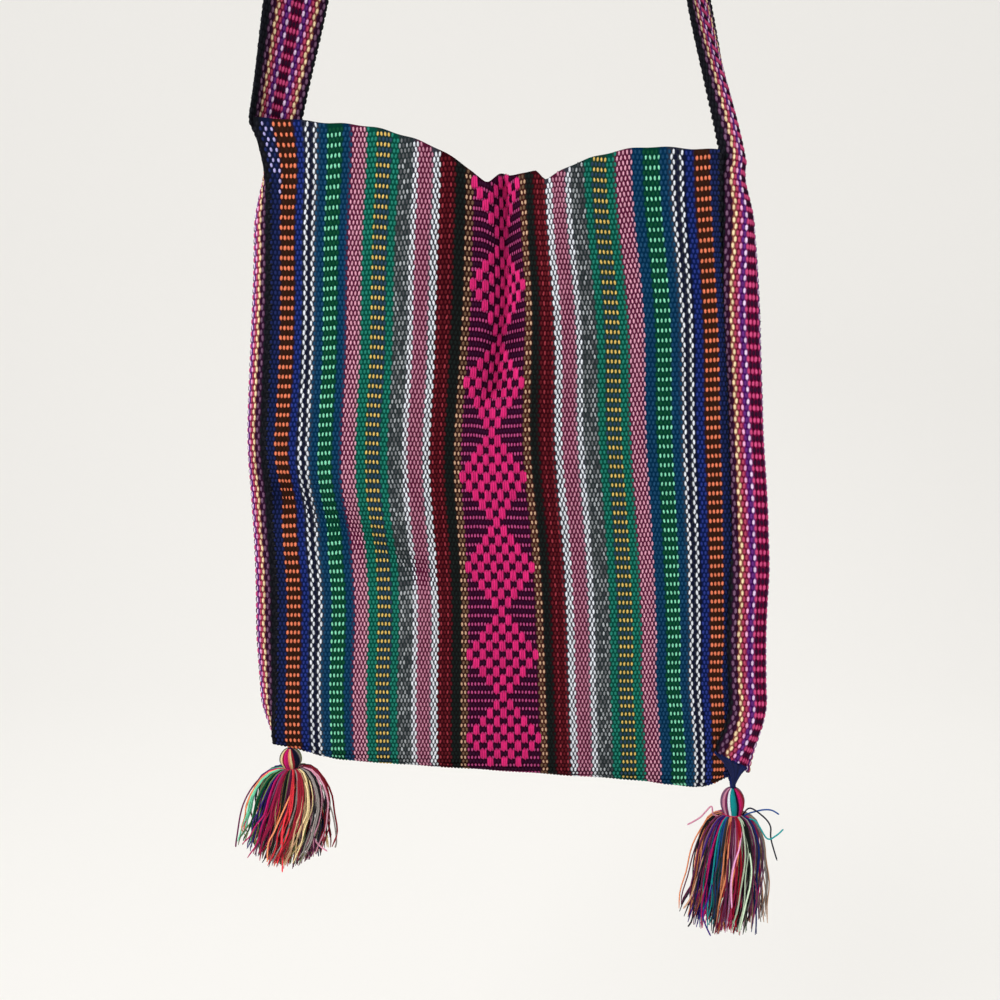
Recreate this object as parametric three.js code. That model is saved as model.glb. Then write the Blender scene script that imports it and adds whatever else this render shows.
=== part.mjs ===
// Woven shoulder bag: a striped cloth folded at its foot, a strap sewn in as both side gussets, two tassels.
import * as THREE from 'three';

// Driving dimensions in millimetres. +X is the bag's right, +Y its back, +Z up, and the strap hangs at Z = 0.
const panelWidth = 284;
const panelHeight = 382;
const clothThickness = 1.8;
const bagDepth = 24;
const mouthGather = 16;
const mouthSag = 25;
const fallAcross = 20;
const strapWidth = 42;
const strapThickness = 2.2;
const strapDrop = 518;
const crownLength = 24;
const crownBend = 14;
const seamRadius = 0.55;
const ribHeight = 0.6;
const fitGap = 0.35;

// Sizes of the two tassels, as they hang.
const leftTassel = {
  name: 'left',
  across: -0.48,
  tieRadius: 1.3,
  tieLength: 0.8,
  headRadius: 6.4,
  headHeight: 11.5,
  skirtLength: 56,
  skirtHalfWidth: 31,
  skirtHalfDepth: 17,
};
const rightTassel = {
  name: 'right',
  across: 0.494,
  tieRadius: 1.7,
  tieLength: 3,
  headRadius: 7.4,
  headHeight: 18,
  skirtLength: 70,
  skirtHalfWidth: 24,
  skirtHalfDepth: 17,
};

// Weave of one half of the cloth, as shares of the way from its side edge to its middle.
const ladderStripes = [[0.056, 0.119], [0.241, 0.303], [0.435, 0.491]];
const brocadeShare = 0.836;
const diamondsPerPanel = 7;
const diamondNarrow = 0.12;
const diamondWide = 0.8;
const diamondEdge = 0.14;

// Creases of the front: a line across the cloth, its half width in millimetres and its depth towards the back.
const creases = [
  { from: [0.012, -0.05], to: [0.004, 0.32], reach: 11, depth: 9.5 },
  { from: [-0.14, -0.05], to: [-0.17, 0.42], reach: 26, depth: -4 },
  { from: [0.16, -0.05], to: [0.13, 0.3], reach: 24, depth: -4 },
  { from: [-0.46, 0.61], to: [-0.2, 0.7], reach: 12, depth: 5 },
  { from: [-0.46, 0.52], to: [-0.2, 0.6], reach: 14, depth: -3.5 },
  { from: [0.2, 0.5], to: [0.26, 0.85], reach: 40, depth: -2.5 },
];

// How finely the cloth and the strap are divided.
const rowsPerDiamond = 4;
const closeRowsAtFoot = 4;
const strapColumns = 6;
const strandRows = 16;
const bendRows = 5;

const seamOut = seamRadius + fitGap;
const threadInset = clothThickness / 2 + fitGap + seamRadius;
const strapInset = threadInset + seamRadius + fitGap + strapThickness / 2;
const footHalfDepth = clothThickness * 1.35;
const mouthZ = -strapDrop;
const footZ = mouthZ - panelHeight;
const frontRows = diamondsPerPanel * rowsPerDiamond;

const { lerp, smoothstep } = THREE.MathUtils;

// A smooth hump of height 1 at the centre, fading over the given reach.
function hump(offset, reach) {
  return Math.exp(-((offset / reach) ** 2));
}

// Distance in millimetres from a place on the panel to a crease.
function creaseDistance(u, v, { from, to }) {
  const place = new THREE.Vector3(u * panelWidth, v * panelHeight, 0);
  const start = new THREE.Vector3(from[0] * panelWidth, from[1] * panelHeight, 0);
  const end = new THREE.Vector3(to[0] * panelWidth, to[1] * panelHeight, 0);
  const nearest = new THREE.Line3(start, end).closestPointToPoint(place, true, new THREE.Vector3());
  return nearest.distanceTo(place);
}

function creaseDepth(u, v) {
  let depth = 0;
  for (const crease of creases) {
    depth += crease.depth * hump(creaseDistance(u, v, crease), crease.reach);
  }
  return depth;
}

// Half of the space between front and back, from the mouth (v = 0) to the foot (v = 1).
function halfDepth(v) {
  return footHalfDepth + (bagDepth / 2 - footHalfDepth) * Math.sqrt(1 - v ** 6);
}

// Side edges of the front and of the back, which hangs a little to the right of it.
function frontLeft(v) {
  return -0.49 * panelWidth + 0.1 * mouthGather * (1 - v);
}

function frontRight(v) {
  return 0.51 * panelWidth - 0.9 * mouthGather * (1 - v);
}

function backLeft(v) {
  const pulledIn = 0.43 * strapWidth * (1 - smoothstep(v, 0, 0.17));
  return frontLeft(v) + 0.15 * bagDepth + pulledIn;
}

function backRight(v) {
  const opened = 0.72 * bagDepth * (smoothstep(v, 0, 0.4) - 1.02 * smoothstep(v, 0.82, 1));
  return frontRight(v) + 0.34 * bagDepth + opened;
}

// The mouth sags in its middle, and the whole bag hangs lower on its right.
function mouthHeight(u) {
  const sag = mouthSag * hump(u - 0.03, 0.18);
  const tuck = 0.2 * mouthSag * hump(u - 0.04, 0.035);
  return mouthZ - fallAcross * (u + 0.5) - sag + tuck;
}

function footHeight(u) {
  const corners = hump(u + 0.5, 0.08) + hump(u - 0.5, 0.06);
  return footZ - fallAcross * (u + 0.5) + 0.36 * fallAcross * corners;
}

// Across the front, the stripes keep their width and the brocaded middle takes up the gathers.
function frontPoint(u, v) {
  const half = (1 - brocadeShare) / 2;
  const left = frontLeft(v);
  const right = frontRight(v);
  const kept = (0.5 - half) * panelWidth;
  let x = lerp(left + kept, right - kept, (u + half) / (2 * half));
  if (u < -half) {
    x = left + (u + 0.5) * panelWidth;
  }
  if (u > half) {
    x = right - (0.5 - u) * panelWidth;
  }
  const cornerSpread = 0.33 * bagDepth * hump(v, 0.07) * hump(u + 0.5, 0.06);
  const z = lerp(mouthHeight(u), footHeight(u), v);
  const faded = 1 - smoothstep(v, 0.85, 1);
  return new THREE.Vector3(x - cornerSpread, creaseDepth(u, v) * faded - halfDepth(v), z);
}

function backPoint(u, v) {
  const lower = 0.25 * bagDepth * (1 - v);
  const z = lerp(mouthHeight(u) - lower, footHeight(u), v);
  const x = lerp(backLeft(v), backRight(v), u + 0.5);
  return new THREE.Vector3(x, halfDepth(v), z);
}

// A closed solid around a grid of points, grown along the sheet's normals and raised on its outer face.
function sheetSolid(rows, thickness, raised) {
  const rowCount = rows.length;
  const columnCount = rows[0].length;
  const positions = [];
  const indices = [];
  const along = new THREE.Vector3();
  const across = new THREE.Vector3();
  const outward = new THREE.Vector3();
  for (const side of [1, -1]) {
    for (let j = 0; j < rowCount; j += 1) {
      for (let i = 0; i < columnCount; i += 1) {
        along.subVectors(rows[Math.min(j + 1, rowCount - 1)][i], rows[Math.max(j - 1, 0)][i]);
        across.subVectors(rows[j][Math.min(i + 1, columnCount - 1)], rows[j][Math.max(i - 1, 0)]);
        outward.crossVectors(along, across).normalize();
        const lift = side > 0 ? thickness / 2 + raised(i, j) : -thickness / 2;
        positions.push(...outward.multiplyScalar(lift).add(rows[j][i]).toArray());
      }
    }
  }
  const outer = (i, j) => j * columnCount + i;
  const inner = (i, j) => rowCount * columnCount + outer(i, j);
  const quad = (a, b, c, d) => indices.push(a, b, c, a, c, d);
  for (let j = 0; j + 1 < rowCount; j += 1) {
    for (let i = 0; i + 1 < columnCount; i += 1) {
      quad(outer(i, j), outer(i, j + 1), outer(i + 1, j + 1), outer(i + 1, j));
      quad(inner(i, j), inner(i + 1, j), inner(i + 1, j + 1), inner(i, j + 1));
    }
    const last = columnCount - 1;
    quad(outer(0, j + 1), outer(0, j), inner(0, j), inner(0, j + 1));
    quad(outer(last, j), outer(last, j + 1), inner(last, j + 1), inner(last, j));
  }
  for (let i = 0; i + 1 < columnCount; i += 1) {
    const last = rowCount - 1;
    quad(outer(i, 0), outer(i + 1, 0), inner(i + 1, 0), inner(i, 0));
    quad(outer(i + 1, last), outer(i, last), inner(i, last), inner(i + 1, last));
  }
  const geometry = new THREE.BufferGeometry();
  geometry.setAttribute('position', new THREE.Float32BufferAttribute(positions, 3));
  geometry.setIndex(indices);
  return geometry;
}

// A closed solid through rings of points around one axis, with a fan over each end.
function loftSolid(rings) {
  const sides = rings[0].length;
  const points = rings.flat();
  const indices = [];
  for (let j = 0; j + 1 < rings.length; j += 1) {
    for (let i = 0; i < sides; i += 1) {
      const next = (i + 1) % sides;
      const [a, b] = [j * sides + i, j * sides + next];
      indices.push(a, a + sides, b, b, a + sides, b + sides);
    }
  }
  for (const [ring, flip] of [[0, false], [rings.length - 1, true]]) {
    const middle = rings[ring].reduce((sum, point) => sum.add(point), new THREE.Vector3()).divideScalar(sides);
    points.push(middle);
    for (let i = 0; i < sides; i += 1) {
      const [a, b] = [ring * sides + i, ring * sides + ((i + 1) % sides)];
      indices.push(points.length - 1, flip ? b : a, flip ? a : b);
    }
  }
  const geometry = new THREE.BufferGeometry().setFromPoints(points);
  geometry.setIndex(indices);
  return geometry;
}

function namedMesh(name, geometry, color) {
  const mesh = new THREE.Mesh(geometry, new THREE.MeshStandardMaterial({ color, roughness: 0.9, metalness: 0 }));
  mesh.name = name;
  return mesh;
}

// Columns of the cloth from its left edge to its right: each has a share of the way in, or follows the diamonds.
function clothColumns() {
  const half = [{ share: 0 }];
  for (const [start, end] of ladderStripes) {
    const flat = (half.at(-1).share + start) / 2;
    half.push({ share: flat }, { share: start }, { share: (start + end) / 2, raised: true }, { share: end });
  }
  const flatSpan = brocadeShare - half.at(-1).share;
  half.push({ share: brocadeShare - 0.67 * flatSpan }, { share: brocadeShare - 0.33 * flatSpan });
  half.push({ share: brocadeShare }, { diamond: diamondEdge }, { diamond: 0, raised: true });
  const left = half.map((column) => ({ ...column, side: -1 }));
  const right = half.map((column) => ({ ...column, side: 1 })).reverse();
  return [...left, { share: 1, side: -1, raised: true }, ...right];
}

// Where a column crosses a row, from -0.5 at the left edge to 0.5 at the right.
function columnPlace(column, v) {
  let share = column.share;
  if (column.diamond !== undefined) {
    const phase = Math.abs(((v * diamondsPerPanel) % 1) * 2 - 1);
    const halfWidth = lerp(diamondWide, diamondNarrow, phase) + column.diamond;
    share = 1 - (1 - brocadeShare) * halfWidth;
  }
  return column.side * 0.5 * (1 - share);
}

function bodyCloth() {
  const columns = clothColumns();
  const rows = [];
  for (let j = 0; j <= frontRows; j += 1) {
    const v = j / frontRows;
    rows.push(columns.map((column) => frontPoint(columnPlace(column, v), v)));
  }
  for (const turn of [-45, 0, 45]) {
    const angle = THREE.MathUtils.degToRad(turn);
    const drop = new THREE.Vector3(0, Math.sin(angle) * footHalfDepth, -Math.cos(angle) * footHalfDepth);
    rows.push(columns.map((column) => {
      const u = columnPlace(column, 1);
      const foot = frontPoint(u, 1).lerp(backPoint(u, 1), 0.5 + 0.5 * Math.sin(angle));
      return foot.setY(0).add(drop);
    }));
  }
  for (let j = frontRows; j >= 0; j -= j > frontRows - closeRowsAtFoot ? 1 : 2) {
    const v = j / frontRows;
    rows.push(columns.map((column) => backPoint(columnPlace(column, v), v)));
  }
  const raised = (i) => (columns[i].raised ? ribHeight : 0);
  return namedMesh('body_cloth', sheetSolid(rows, clothThickness, raised), 0x2b6f6a);
}

// The strap's two edges at a height of one gusset, each a seam's width off the panel that it is sewn to.
function gussetEdges(side, v) {
  const front = frontPoint(side / 2, v).add(new THREE.Vector3(side * seamOut, strapInset, 0));
  const back = backPoint(side / 2, v).add(new THREE.Vector3(side * seamOut, -strapInset, 0));
  if (side > 0) {
    const wrapped = smoothstep(v, 0.76, 0.86);
    const swept = smoothstep(v, 0.86, 0.97);
    front.y -= wrapped * 2 * strapInset;
    front.x -= swept * 0.4 * strapWidth;
    back.x += swept * 0.12 * strapWidth;
    back.z -= swept * 0.035 * panelHeight;
  }
  return { front, back };
}

// A row of the strap from its front edge to its back edge, bowed outwards by the width that it has to spare.
function strapRow(front, back, side, fullness) {
  const chord = new THREE.Vector3().subVectors(back, front);
  const spare = Math.max(strapWidth ** 2 - chord.lengthSq(), 0);
  const bow = fullness * 0.465 * Math.sqrt(spare);
  const outward = new THREE.Vector3(side * chord.y, -side * chord.x, 0).normalize();
  const row = [];
  for (let i = 0; i <= strapColumns; i += 1) {
    const w = i / strapColumns;
    const point = new THREE.Vector3().lerpVectors(front, back, w);
    row.push(point.addScaledVector(outward, 4 * bow * w * (1 - w)));
  }
  return row;
}

// How much of its spare width the strap bows out by, down each side of the bag.
function gussetFullness(side, v) {
  if (side < 0) {
    const bulged = 0.18 * smoothstep(v, 0.15, 0.4) + 0.12 * hump(v - 0.5, 0.1);
    return 0.58 + bulged - 0.2 * smoothstep(v, 0.8, 0.95);
  }
  return 0.62 + 0.38 * smoothstep(v, 0, 0.05) + 0.1 * hump(v - 0.14, 0.06) + 0.1 * smoothstep(v, 0.35, 0.5);
}

// Rows of one gusset from the mouth down to the hem at its foot, where the strap is gathered in.
function gussetRows(side) {
  const rows = [];
  for (let j = 0; j < frontRows; j += 1) {
    const v = j / frontRows;
    const { front, back } = gussetEdges(side, v);
    rows.push(strapRow(front, back, side, gussetFullness(side, v)));
  }
  return rows;
}

// Rows of one strand from just above the mouth up to the middle of the crown, turning square as it climbs.
function strandRowsUp(side) {
  const { front, back } = gussetEdges(side, 0);
  const foot = new THREE.Vector3().lerpVectors(front, back, 0.5);
  const chord = new THREE.Vector3().subVectors(back, front);
  const turn = Math.atan2(chord.x, chord.y);
  const bendCentre = new THREE.Vector2(side * crownLength / 2, strapThickness / 2 - crownBend);
  const toFoot = new THREE.Vector2(foot.x, foot.z).sub(bendCentre);
  const lean = Math.atan2(toFoot.y, side * toFoot.x) + Math.acos(crownBend / toFoot.length());
  const bendPoint = (angle) => new THREE.Vector3(
    bendCentre.x + side * crownBend * Math.cos(angle),
    0,
    bendCentre.y + crownBend * Math.sin(angle),
  );
  const rows = [];
  for (let j = 1; j <= strandRows; j += 1) {
    const t = j / strandRows;
    const middle = new THREE.Vector3().lerpVectors(foot, bendPoint(lean), t);
    const untwist = 1 - smoothstep(t, 0.1, 0.95);
    const length = lerp(chord.length(), strapWidth, smoothstep(t, 0, 0.18));
    const half = new THREE.Vector3(Math.sin(turn * untwist), Math.cos(turn * untwist), 0).multiplyScalar(length / 2);
    half.z = 0.5 * chord.z * untwist;
    rows.push(strapRow(middle.clone().sub(half), middle.clone().add(half), side, gussetFullness(side, 0)));
  }
  const across = new THREE.Vector3(0, strapWidth / 2, 0);
  for (let j = 1; j <= bendRows; j += 1) {
    const middle = bendPoint(lerp(lean, Math.PI / 2, j / bendRows));
    rows.push(strapRow(middle.clone().sub(across), middle.clone().add(across), side, 0));
  }
  return rows;
}

function strapBand() {
  const leftHalf = [...gussetRows(-1).reverse(), ...strandRowsUp(-1)];
  const rightHalf = [...gussetRows(1).reverse(), ...strandRowsUp(1)].reverse();
  const geometry = sheetSolid([...leftHalf, ...rightHalf], strapThickness, () => 0);
  return namedMesh('strap_band', geometry, 0x7a2a5c);
}

// The overcast thread of one seam, between the panel's edge and the strap's.
function seamThread(name, side, panelPoint, inward, lastRow) {
  const points = [];
  for (let j = 0; j <= lastRow; j += 1) {
    const edge = panelPoint(side / 2, j / frontRows);
    points.push(edge.add(new THREE.Vector3(side * 0.5 * seamOut, inward * threadInset, 0)));
  }
  const section = new THREE.Shape().absarc(0, 0, seamRadius, 0, 2 * Math.PI);
  const extrudePath = new THREE.CatmullRomCurve3(points);
  const geometry = new THREE.ExtrudeGeometry(section, { extrudePath, steps: lastRow, curveSegments: 3 });
  return namedMesh(name, geometry, 0x1a1c24);
}

// One ring of the yarns, fluted where they hang loose.
function yarnRing(centre, halfWidth, halfDepth, flute, ragged) {
  const sides = 24;
  const ring = [];
  for (let i = 0; i < sides; i += 1) {
    const angle = (2 * Math.PI * i) / sides;
    const reach = 1 + flute * (i % 2);
    const fall = ragged * Math.cos(6 * angle);
    const x = halfWidth * reach * Math.cos(angle);
    const y = halfDepth * reach * Math.sin(angle);
    ring.push(new THREE.Vector3(x, y, fall).add(centre));
  }
  return ring;
}

// Rings of a tassel: a round head, a tight neck and a skirt that arches out to its cut ends.
function tasselRings(tassel, headTop) {
  const rings = [];
  const at = (drop) => headTop.clone().setZ(headTop.z - drop);
  const neckRadius = 0.55 * tassel.headRadius;
  const headSteps = 6;
  for (let j = 0; j <= headSteps; j += 1) {
    const t = lerp(0.03, 0.9, j / headSteps);
    const radius = Math.max(tassel.headRadius * Math.sin(Math.PI * t), j > 1 ? neckRadius : 0);
    rings.push(yarnRing(at(tassel.headHeight * t), radius, radius, 0, 0));
  }
  const neckFoot = tassel.headHeight * 1.1;
  rings.push(yarnRing(at(neckFoot), neckRadius, neckRadius, 0, 0));
  for (const [share, spread] of [[0.08, 0.5], [0.25, 0.78], [0.55, 0.95], [1, 1]]) {
    const centre = at(neckFoot + share * tassel.skirtLength);
    const hem = share === 1 ? 0.03 * tassel.skirtLength : 0;
    rings.push(yarnRing(centre, tassel.skirtHalfWidth * spread, tassel.skirtHalfDepth * spread, -0.12, hem));
  }
  return rings;
}

function tasselMeshes(tassel) {
  const u = tassel.across;
  const foot = frontPoint(u, 1).lerp(backPoint(u, 1), 0.5).setY(0);
  const hemBottom = foot.z - footHalfDepth - clothThickness / 2;
  const tieTop = new THREE.Vector3(foot.x, 0, hemBottom - 2 * fitGap - tassel.tieRadius);
  const tieProfile = new THREE.Path();
  tieProfile.absarc(0, -tassel.tieLength, tassel.tieRadius, -Math.PI / 2, 0);
  tieProfile.absarc(0, 0, tassel.tieRadius, 0, Math.PI / 2);
  const tie = new THREE.LatheGeometry(tieProfile.getPoints(4), 12).rotateX(Math.PI / 2);
  tie.translate(...tieTop.toArray());
  const headTop = tieTop.clone();
  headTop.z -= tassel.tieLength + tassel.tieRadius + fitGap;
  const windRadius = 0.16 * tassel.headRadius;
  const windProfile = new THREE.Path();
  windProfile.absarc(0.55 * tassel.headRadius + fitGap + windRadius, 0, windRadius, 0, 2 * Math.PI);
  const binding = new THREE.LatheGeometry(windProfile.getPoints(4), 20).rotateX(Math.PI / 2);
  binding.translate(headTop.x, headTop.y, headTop.z - tassel.headHeight);
  return [
    namedMesh(`${tassel.name}_tassel_tie`, tie, 0x16204a),
    namedMesh(`${tassel.name}_tassel_yarn`, loftSolid(tasselRings(tassel, headTop)), 0xa03c62),
    namedMesh(`${tassel.name}_tassel_binding`, binding, 0x8e1f48),
  ];
}

const wrapRow = Math.floor(0.74 * frontRows);
const hemRow = frontRows - 1;
const bag = new THREE.Group();
bag.add(bodyCloth(), strapBand());
bag.add(seamThread('left_front_seam', -1, frontPoint, 1, hemRow));
bag.add(seamThread('left_back_seam', -1, backPoint, -1, hemRow));
bag.add(seamThread('right_front_seam', 1, frontPoint, 1, wrapRow));
bag.add(seamThread('right_back_seam', 1, backPoint, -1, wrapRow));
bag.add(...tasselMeshes(leftTassel), ...tasselMeshes(rightTassel));

export default bag;
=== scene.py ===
import math

import bpy
import numpy as np
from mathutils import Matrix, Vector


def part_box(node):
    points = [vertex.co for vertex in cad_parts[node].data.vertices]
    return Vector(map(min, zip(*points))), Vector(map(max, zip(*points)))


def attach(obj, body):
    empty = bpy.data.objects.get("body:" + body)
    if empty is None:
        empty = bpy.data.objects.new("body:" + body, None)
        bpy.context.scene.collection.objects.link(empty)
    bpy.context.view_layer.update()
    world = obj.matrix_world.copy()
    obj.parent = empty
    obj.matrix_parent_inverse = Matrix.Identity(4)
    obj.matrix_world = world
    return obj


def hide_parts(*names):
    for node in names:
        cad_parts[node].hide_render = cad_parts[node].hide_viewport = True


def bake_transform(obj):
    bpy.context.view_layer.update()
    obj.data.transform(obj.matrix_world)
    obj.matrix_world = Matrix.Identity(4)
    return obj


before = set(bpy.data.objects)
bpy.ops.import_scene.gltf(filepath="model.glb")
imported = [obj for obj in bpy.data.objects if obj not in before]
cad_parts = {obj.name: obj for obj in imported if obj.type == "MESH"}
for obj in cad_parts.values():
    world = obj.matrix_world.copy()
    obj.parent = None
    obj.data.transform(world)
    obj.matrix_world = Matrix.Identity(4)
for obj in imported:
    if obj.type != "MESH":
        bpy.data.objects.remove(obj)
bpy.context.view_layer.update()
scene = bpy.context.scene
scene.view_settings.view_transform = "Standard"

photoCamera = {
    "place": (0.0, -0.667, -0.658),
    "pitch": 7.1,  # degrees below level
    "lens": 39.6,
    "sensor": 36.0,
}
cameraData = bpy.data.cameras.new("photoCamera")
cameraData.lens, cameraData.sensor_width = photoCamera["lens"], photoCamera["sensor"]
camera = bpy.data.objects.new("photoCamera", cameraData)
camera.location = photoCamera["place"]
camera.rotation_euler = (math.radians(90 - photoCamera["pitch"]), 0, 0)
scene.collection.objects.link(camera)
scene.camera = camera
print("camera set")

# dyed yarns, as screen colours
yarns = {
    "black": (26, 27, 34),
    "navy": (22, 34, 88),
    "orange": (238, 116, 70),
    "blackBrown": (44, 26, 18),
    "royal": (24, 44, 126),
    "white": (230, 234, 242),
    "inkBlue": (14, 18, 40),
    "petrol": (14, 66, 100),
    "mint": (128, 228, 184),
    "darkGreen": (4, 72, 44),
    "dustyPink": (222, 156, 178),
    "green": (20, 124, 106),
    "yellow": (230, 188, 84),
    "slate": (38, 66, 92),
    "marlLight": (182, 186, 190),
    "marlDark": (62, 64, 68),
    "rose": (198, 130, 154),
    "maroon": (150, 34, 50),
    "maroonDark": (92, 10, 22),
    "blackGreen": (22, 30, 28),
    "beige": (206, 164, 130),
    "hotPink": (220, 28, 116),
    "softPink": (184, 60, 124),
    "purpleBlack": (46, 12, 42),
    "lavender": (176, 168, 226),
    "mauve": (122, 83, 114),
    "cream": (242, 216, 162),
    "crimson": (182, 36, 84),
    "pinkWhite": (236, 164, 208),
    "purple": (96, 24, 122),
    "lavenderWhite": (234, 204, 236),
    "magenta": (206, 28, 112),
    "coral": (240, 62, 74),
    "red": (176, 24, 44),
    "teal": (22, 150, 152),
    "blue": (30, 74, 142),
    "violet": (62, 30, 120),
    "grey": (146, 138, 134),
    "charcoal": (56, 54, 60),
    "olive": (128, 140, 92),
    "oliveDrab": (112, 84, 62),
    "peach": (240, 150, 104),
    "tan": (196, 152, 122),
    "plum": (108, 40, 78),
    "paleMint": (206, 226, 196),
}

# what shows in the gaps between the floats of a yarn: the weft's own colour darkened with painted shade
gapWeftAndShadeTones = {
    "black": (15, 16, 21), "navy": (12, 20, 48), "orange": (46, 22, 14), "blackBrown": (40, 20, 12),
    "royal": (8, 22, 68), "white": (46, 48, 56), "inkBlue": (11, 16, 38), "petrol": (1, 38, 66),
    "mint": (2, 50, 38), "darkGreen": (2, 50, 36), "dustyPink": (78, 22, 48), "green": (2, 64, 52),
    "yellow": (24, 48, 38), "slate": (20, 42, 46), "marl": (34, 42, 44), "rose": (74, 20, 44),
    "maroon": (52, 6, 14), "maroonDark": (46, 4, 12), "blackGreen": (15, 16, 16), "beige": (58, 24, 20),
    "oliveDrab": (44, 22, 18), "softPink": (50, 4, 30), "purpleBlack": (38, 2, 25), "hotPink": (104, 4, 50),
    "mauve": (44, 16, 42), "cream": (120, 66, 58), "crimson": (92, 14, 40), "pinkWhite": (124, 28, 82),
    "purple": (52, 10, 74), "lavenderWhite": (104, 52, 112), "magenta": (104, 10, 52),
}


def linear(screen):
    level = np.array(screen) / 255.0
    return np.where(level <= 0.04045, level / 12.92, ((level + 0.055) / 1.055) ** 2.4)


def linearColour(name, share=1.0):
    return linear(yarns[name]) * share


def hump(offset, reach):
    return np.exp(-((offset / reach) ** 2))


def ease(x, low, high):
    t = np.clip((x - low) / (high - low), 0.0, 1.0)
    return t * t * (3 - 2 * t)


def mix(a, b, t):
    return a + (b - a) * t


def unit(vectors):
    return vectors / np.maximum(np.linalg.norm(vectors, axis=-1, keepdims=True), 1e-12)


# the hung cloth, with the solids' own sizes, in metres
bag = {
    "panelWidth": 0.284,
    "panelHeight": 0.382,
    "depth": 0.024,
    "mouthGather": 0.016,
    "mouthSag": 0.025,
    "fallAcross": 0.02,
    "footHalfDepth": 0.00243,
    "brocadeHalf": 0.082,  # share of the width on each side of the middle
    "strapWidth": 0.042,
    "strapThickness": 0.0022,
    "strapDrop": 0.518,
    "crownLength": 0.024,
    "crownBend": 0.014,
    "seamOut": 0.0009,
    "strapInset": 0.0038,
    "strapTuck": (0.0034, 0.0048),  # how far the strap goes in behind the panel, left and right
    "cornerPinch": (0.001, 0.0085),  # the right foot corner drawn in by the tie, front and back
    "edgeCurl": 0.0036,  # radius of the panel's right edge where it turns into the seam
}
mouthZ = -bag["strapDrop"]
footZ = mouthZ - bag["panelHeight"]
foldShare = math.pi * bag["footHalfDepth"] / bag["panelHeight"]
clothLength = 2 + foldShare  # front, fold and back, in heights of the panel

# the mouth dips in the middle, where a fold of the brocade stands up again; places are shares of the width
mouth = {
    "dip": 1.31,  # times the sag
    "dipAt": 0.035,
    "dipReach": 0.182,
    "foldRise": 0.5,
    "foldDrop": 0.13,  # the fold is lower at its right end
    "foldStart": (-0.05, 0.015),
    "foldEnd": (0.118, 0.152),
    "foldFall": (0.05, 0.12),
    "backFold": 0.2,  # how much of the fold the back has
}
footLifts = [(0.36, -0.5, 0.08), (0.34, 0.5, 0.05), (-0.12, 0.38, 0.08)]  # share of the fall, place and reach

# soft creases: from, to (shares of the panel), reach and depth in metres, depth towards the back
creases = [
    ((0.03, -0.05), (0.014, 0.34), 0.011, 0.0115),
    ((-0.14, -0.05), (-0.17, 0.42), 0.026, -0.004),
    ((0.16, -0.05), (0.13, 0.3), 0.024, -0.004),
    ((-0.46, 0.585), (-0.2, 0.675), 0.012, 0.0078),
    ((-0.46, 0.5), (-0.2, 0.575), 0.014, -0.0052),
    ((0.2, 0.5), (0.26, 0.85), 0.04, -0.0025),
]
# where the stripes are pulled sideways: place, reach (shares of the panel) and metres
pulls = [
    ((-0.32, 0.0), (0.26, 0.15), 0.0046),
    ((-0.30, 0.5), (0.26, 0.12), -0.0042),
    ((0.02, 0.43), (0.16, 0.13), -0.0032),
    ((-0.34, 0.74), (0.2, 0.1), 0.0026),
    ((0.27, 0.03), (0.17, 0.2), -0.0072),
    ((0.3, 0.42), (0.18, 0.17), -0.0035),
    ((0.39, 1.0), (0.13, 0.16), 0.0058),
    ((0.46, 0.45), (0.1, 0.3), 0.0016),
    ((0.0, 0.06), (0.1, 0.12), 0.0028),
    ((0.0, 0.2), (0.1, 0.08), 0.0026),
    ((-0.46, 0.05), (0.035, 0.06), 0.0034),
    ((-0.47, 0.24), (0.06, 0.14), 0.0017),
    ((-0.5, 1.0), (0.045, 0.08), -0.0032),
    ((0.5, 0.2), (0.022, 0.17), -0.0026),
]


def creaseDepth(u, v):
    depth = np.zeros(np.broadcast(u, v).shape)
    width, height = bag["panelWidth"], bag["panelHeight"]
    px, py = u * width, v * height
    for start, end, reach, deep in creases:
        ax, ay, bx, by = start[0] * width, start[1] * height, end[0] * width, end[1] * height
        dx, dy = bx - ax, by - ay
        along = np.clip(((px - ax) * dx + (py - ay) * dy) / (dx ** 2 + dy ** 2), 0, 1)
        away = np.hypot(px - ax - along * dx, py - ay - along * dy)
        depth = depth + deep * hump(away, reach)
    return depth


def sidePull(u, v):
    total = np.zeros(np.broadcast(u, v).shape)
    for spot, reach, pull in pulls:
        total = total + pull * hump(u - spot[0], reach[0]) * hump(v - spot[1], reach[1])
    return total


def ripple(u, v):
    # the small uneven waves of hand-woven cloth
    wave = np.sin(19 * v + 7 * u) * np.sin(15 * u - 4 * v + 1.3)
    return 0.0005 * wave + 0.0003 * np.sin(41 * v - 23 * u + 0.7) * np.sin(33 * u + 11 * v)


def halfDepth(v):
    return bag["footHalfDepth"] + (bag["depth"] / 2 - bag["footHalfDepth"]) * np.sqrt(1 - np.clip(v, 0, 1) ** 6)


# the side edges of both panels, from the mouth at 0 to the foot at 1
def frontLeft(v):
    return -0.49 * bag["panelWidth"] + 0.1 * bag["mouthGather"] * (1 - v)


def frontRight(v):
    return 0.51 * bag["panelWidth"] - 0.9 * bag["mouthGather"] * (1 - v)


def backLeft(v):
    return frontLeft(v) + 0.15 * bag["depth"] + 0.43 * bag["strapWidth"] * (1 - ease(v, 0, 0.17))


def backRight(v):
    swing = 0.74 * ease(v, 0, 0.25) - 0.3 * ease(v, 0.25, 0.5) - 0.44 * ease(v, 0.82, 1)
    return frontRight(v) + 0.34 * bag["depth"] + 0.72 * bag["depth"] * swing


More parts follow.
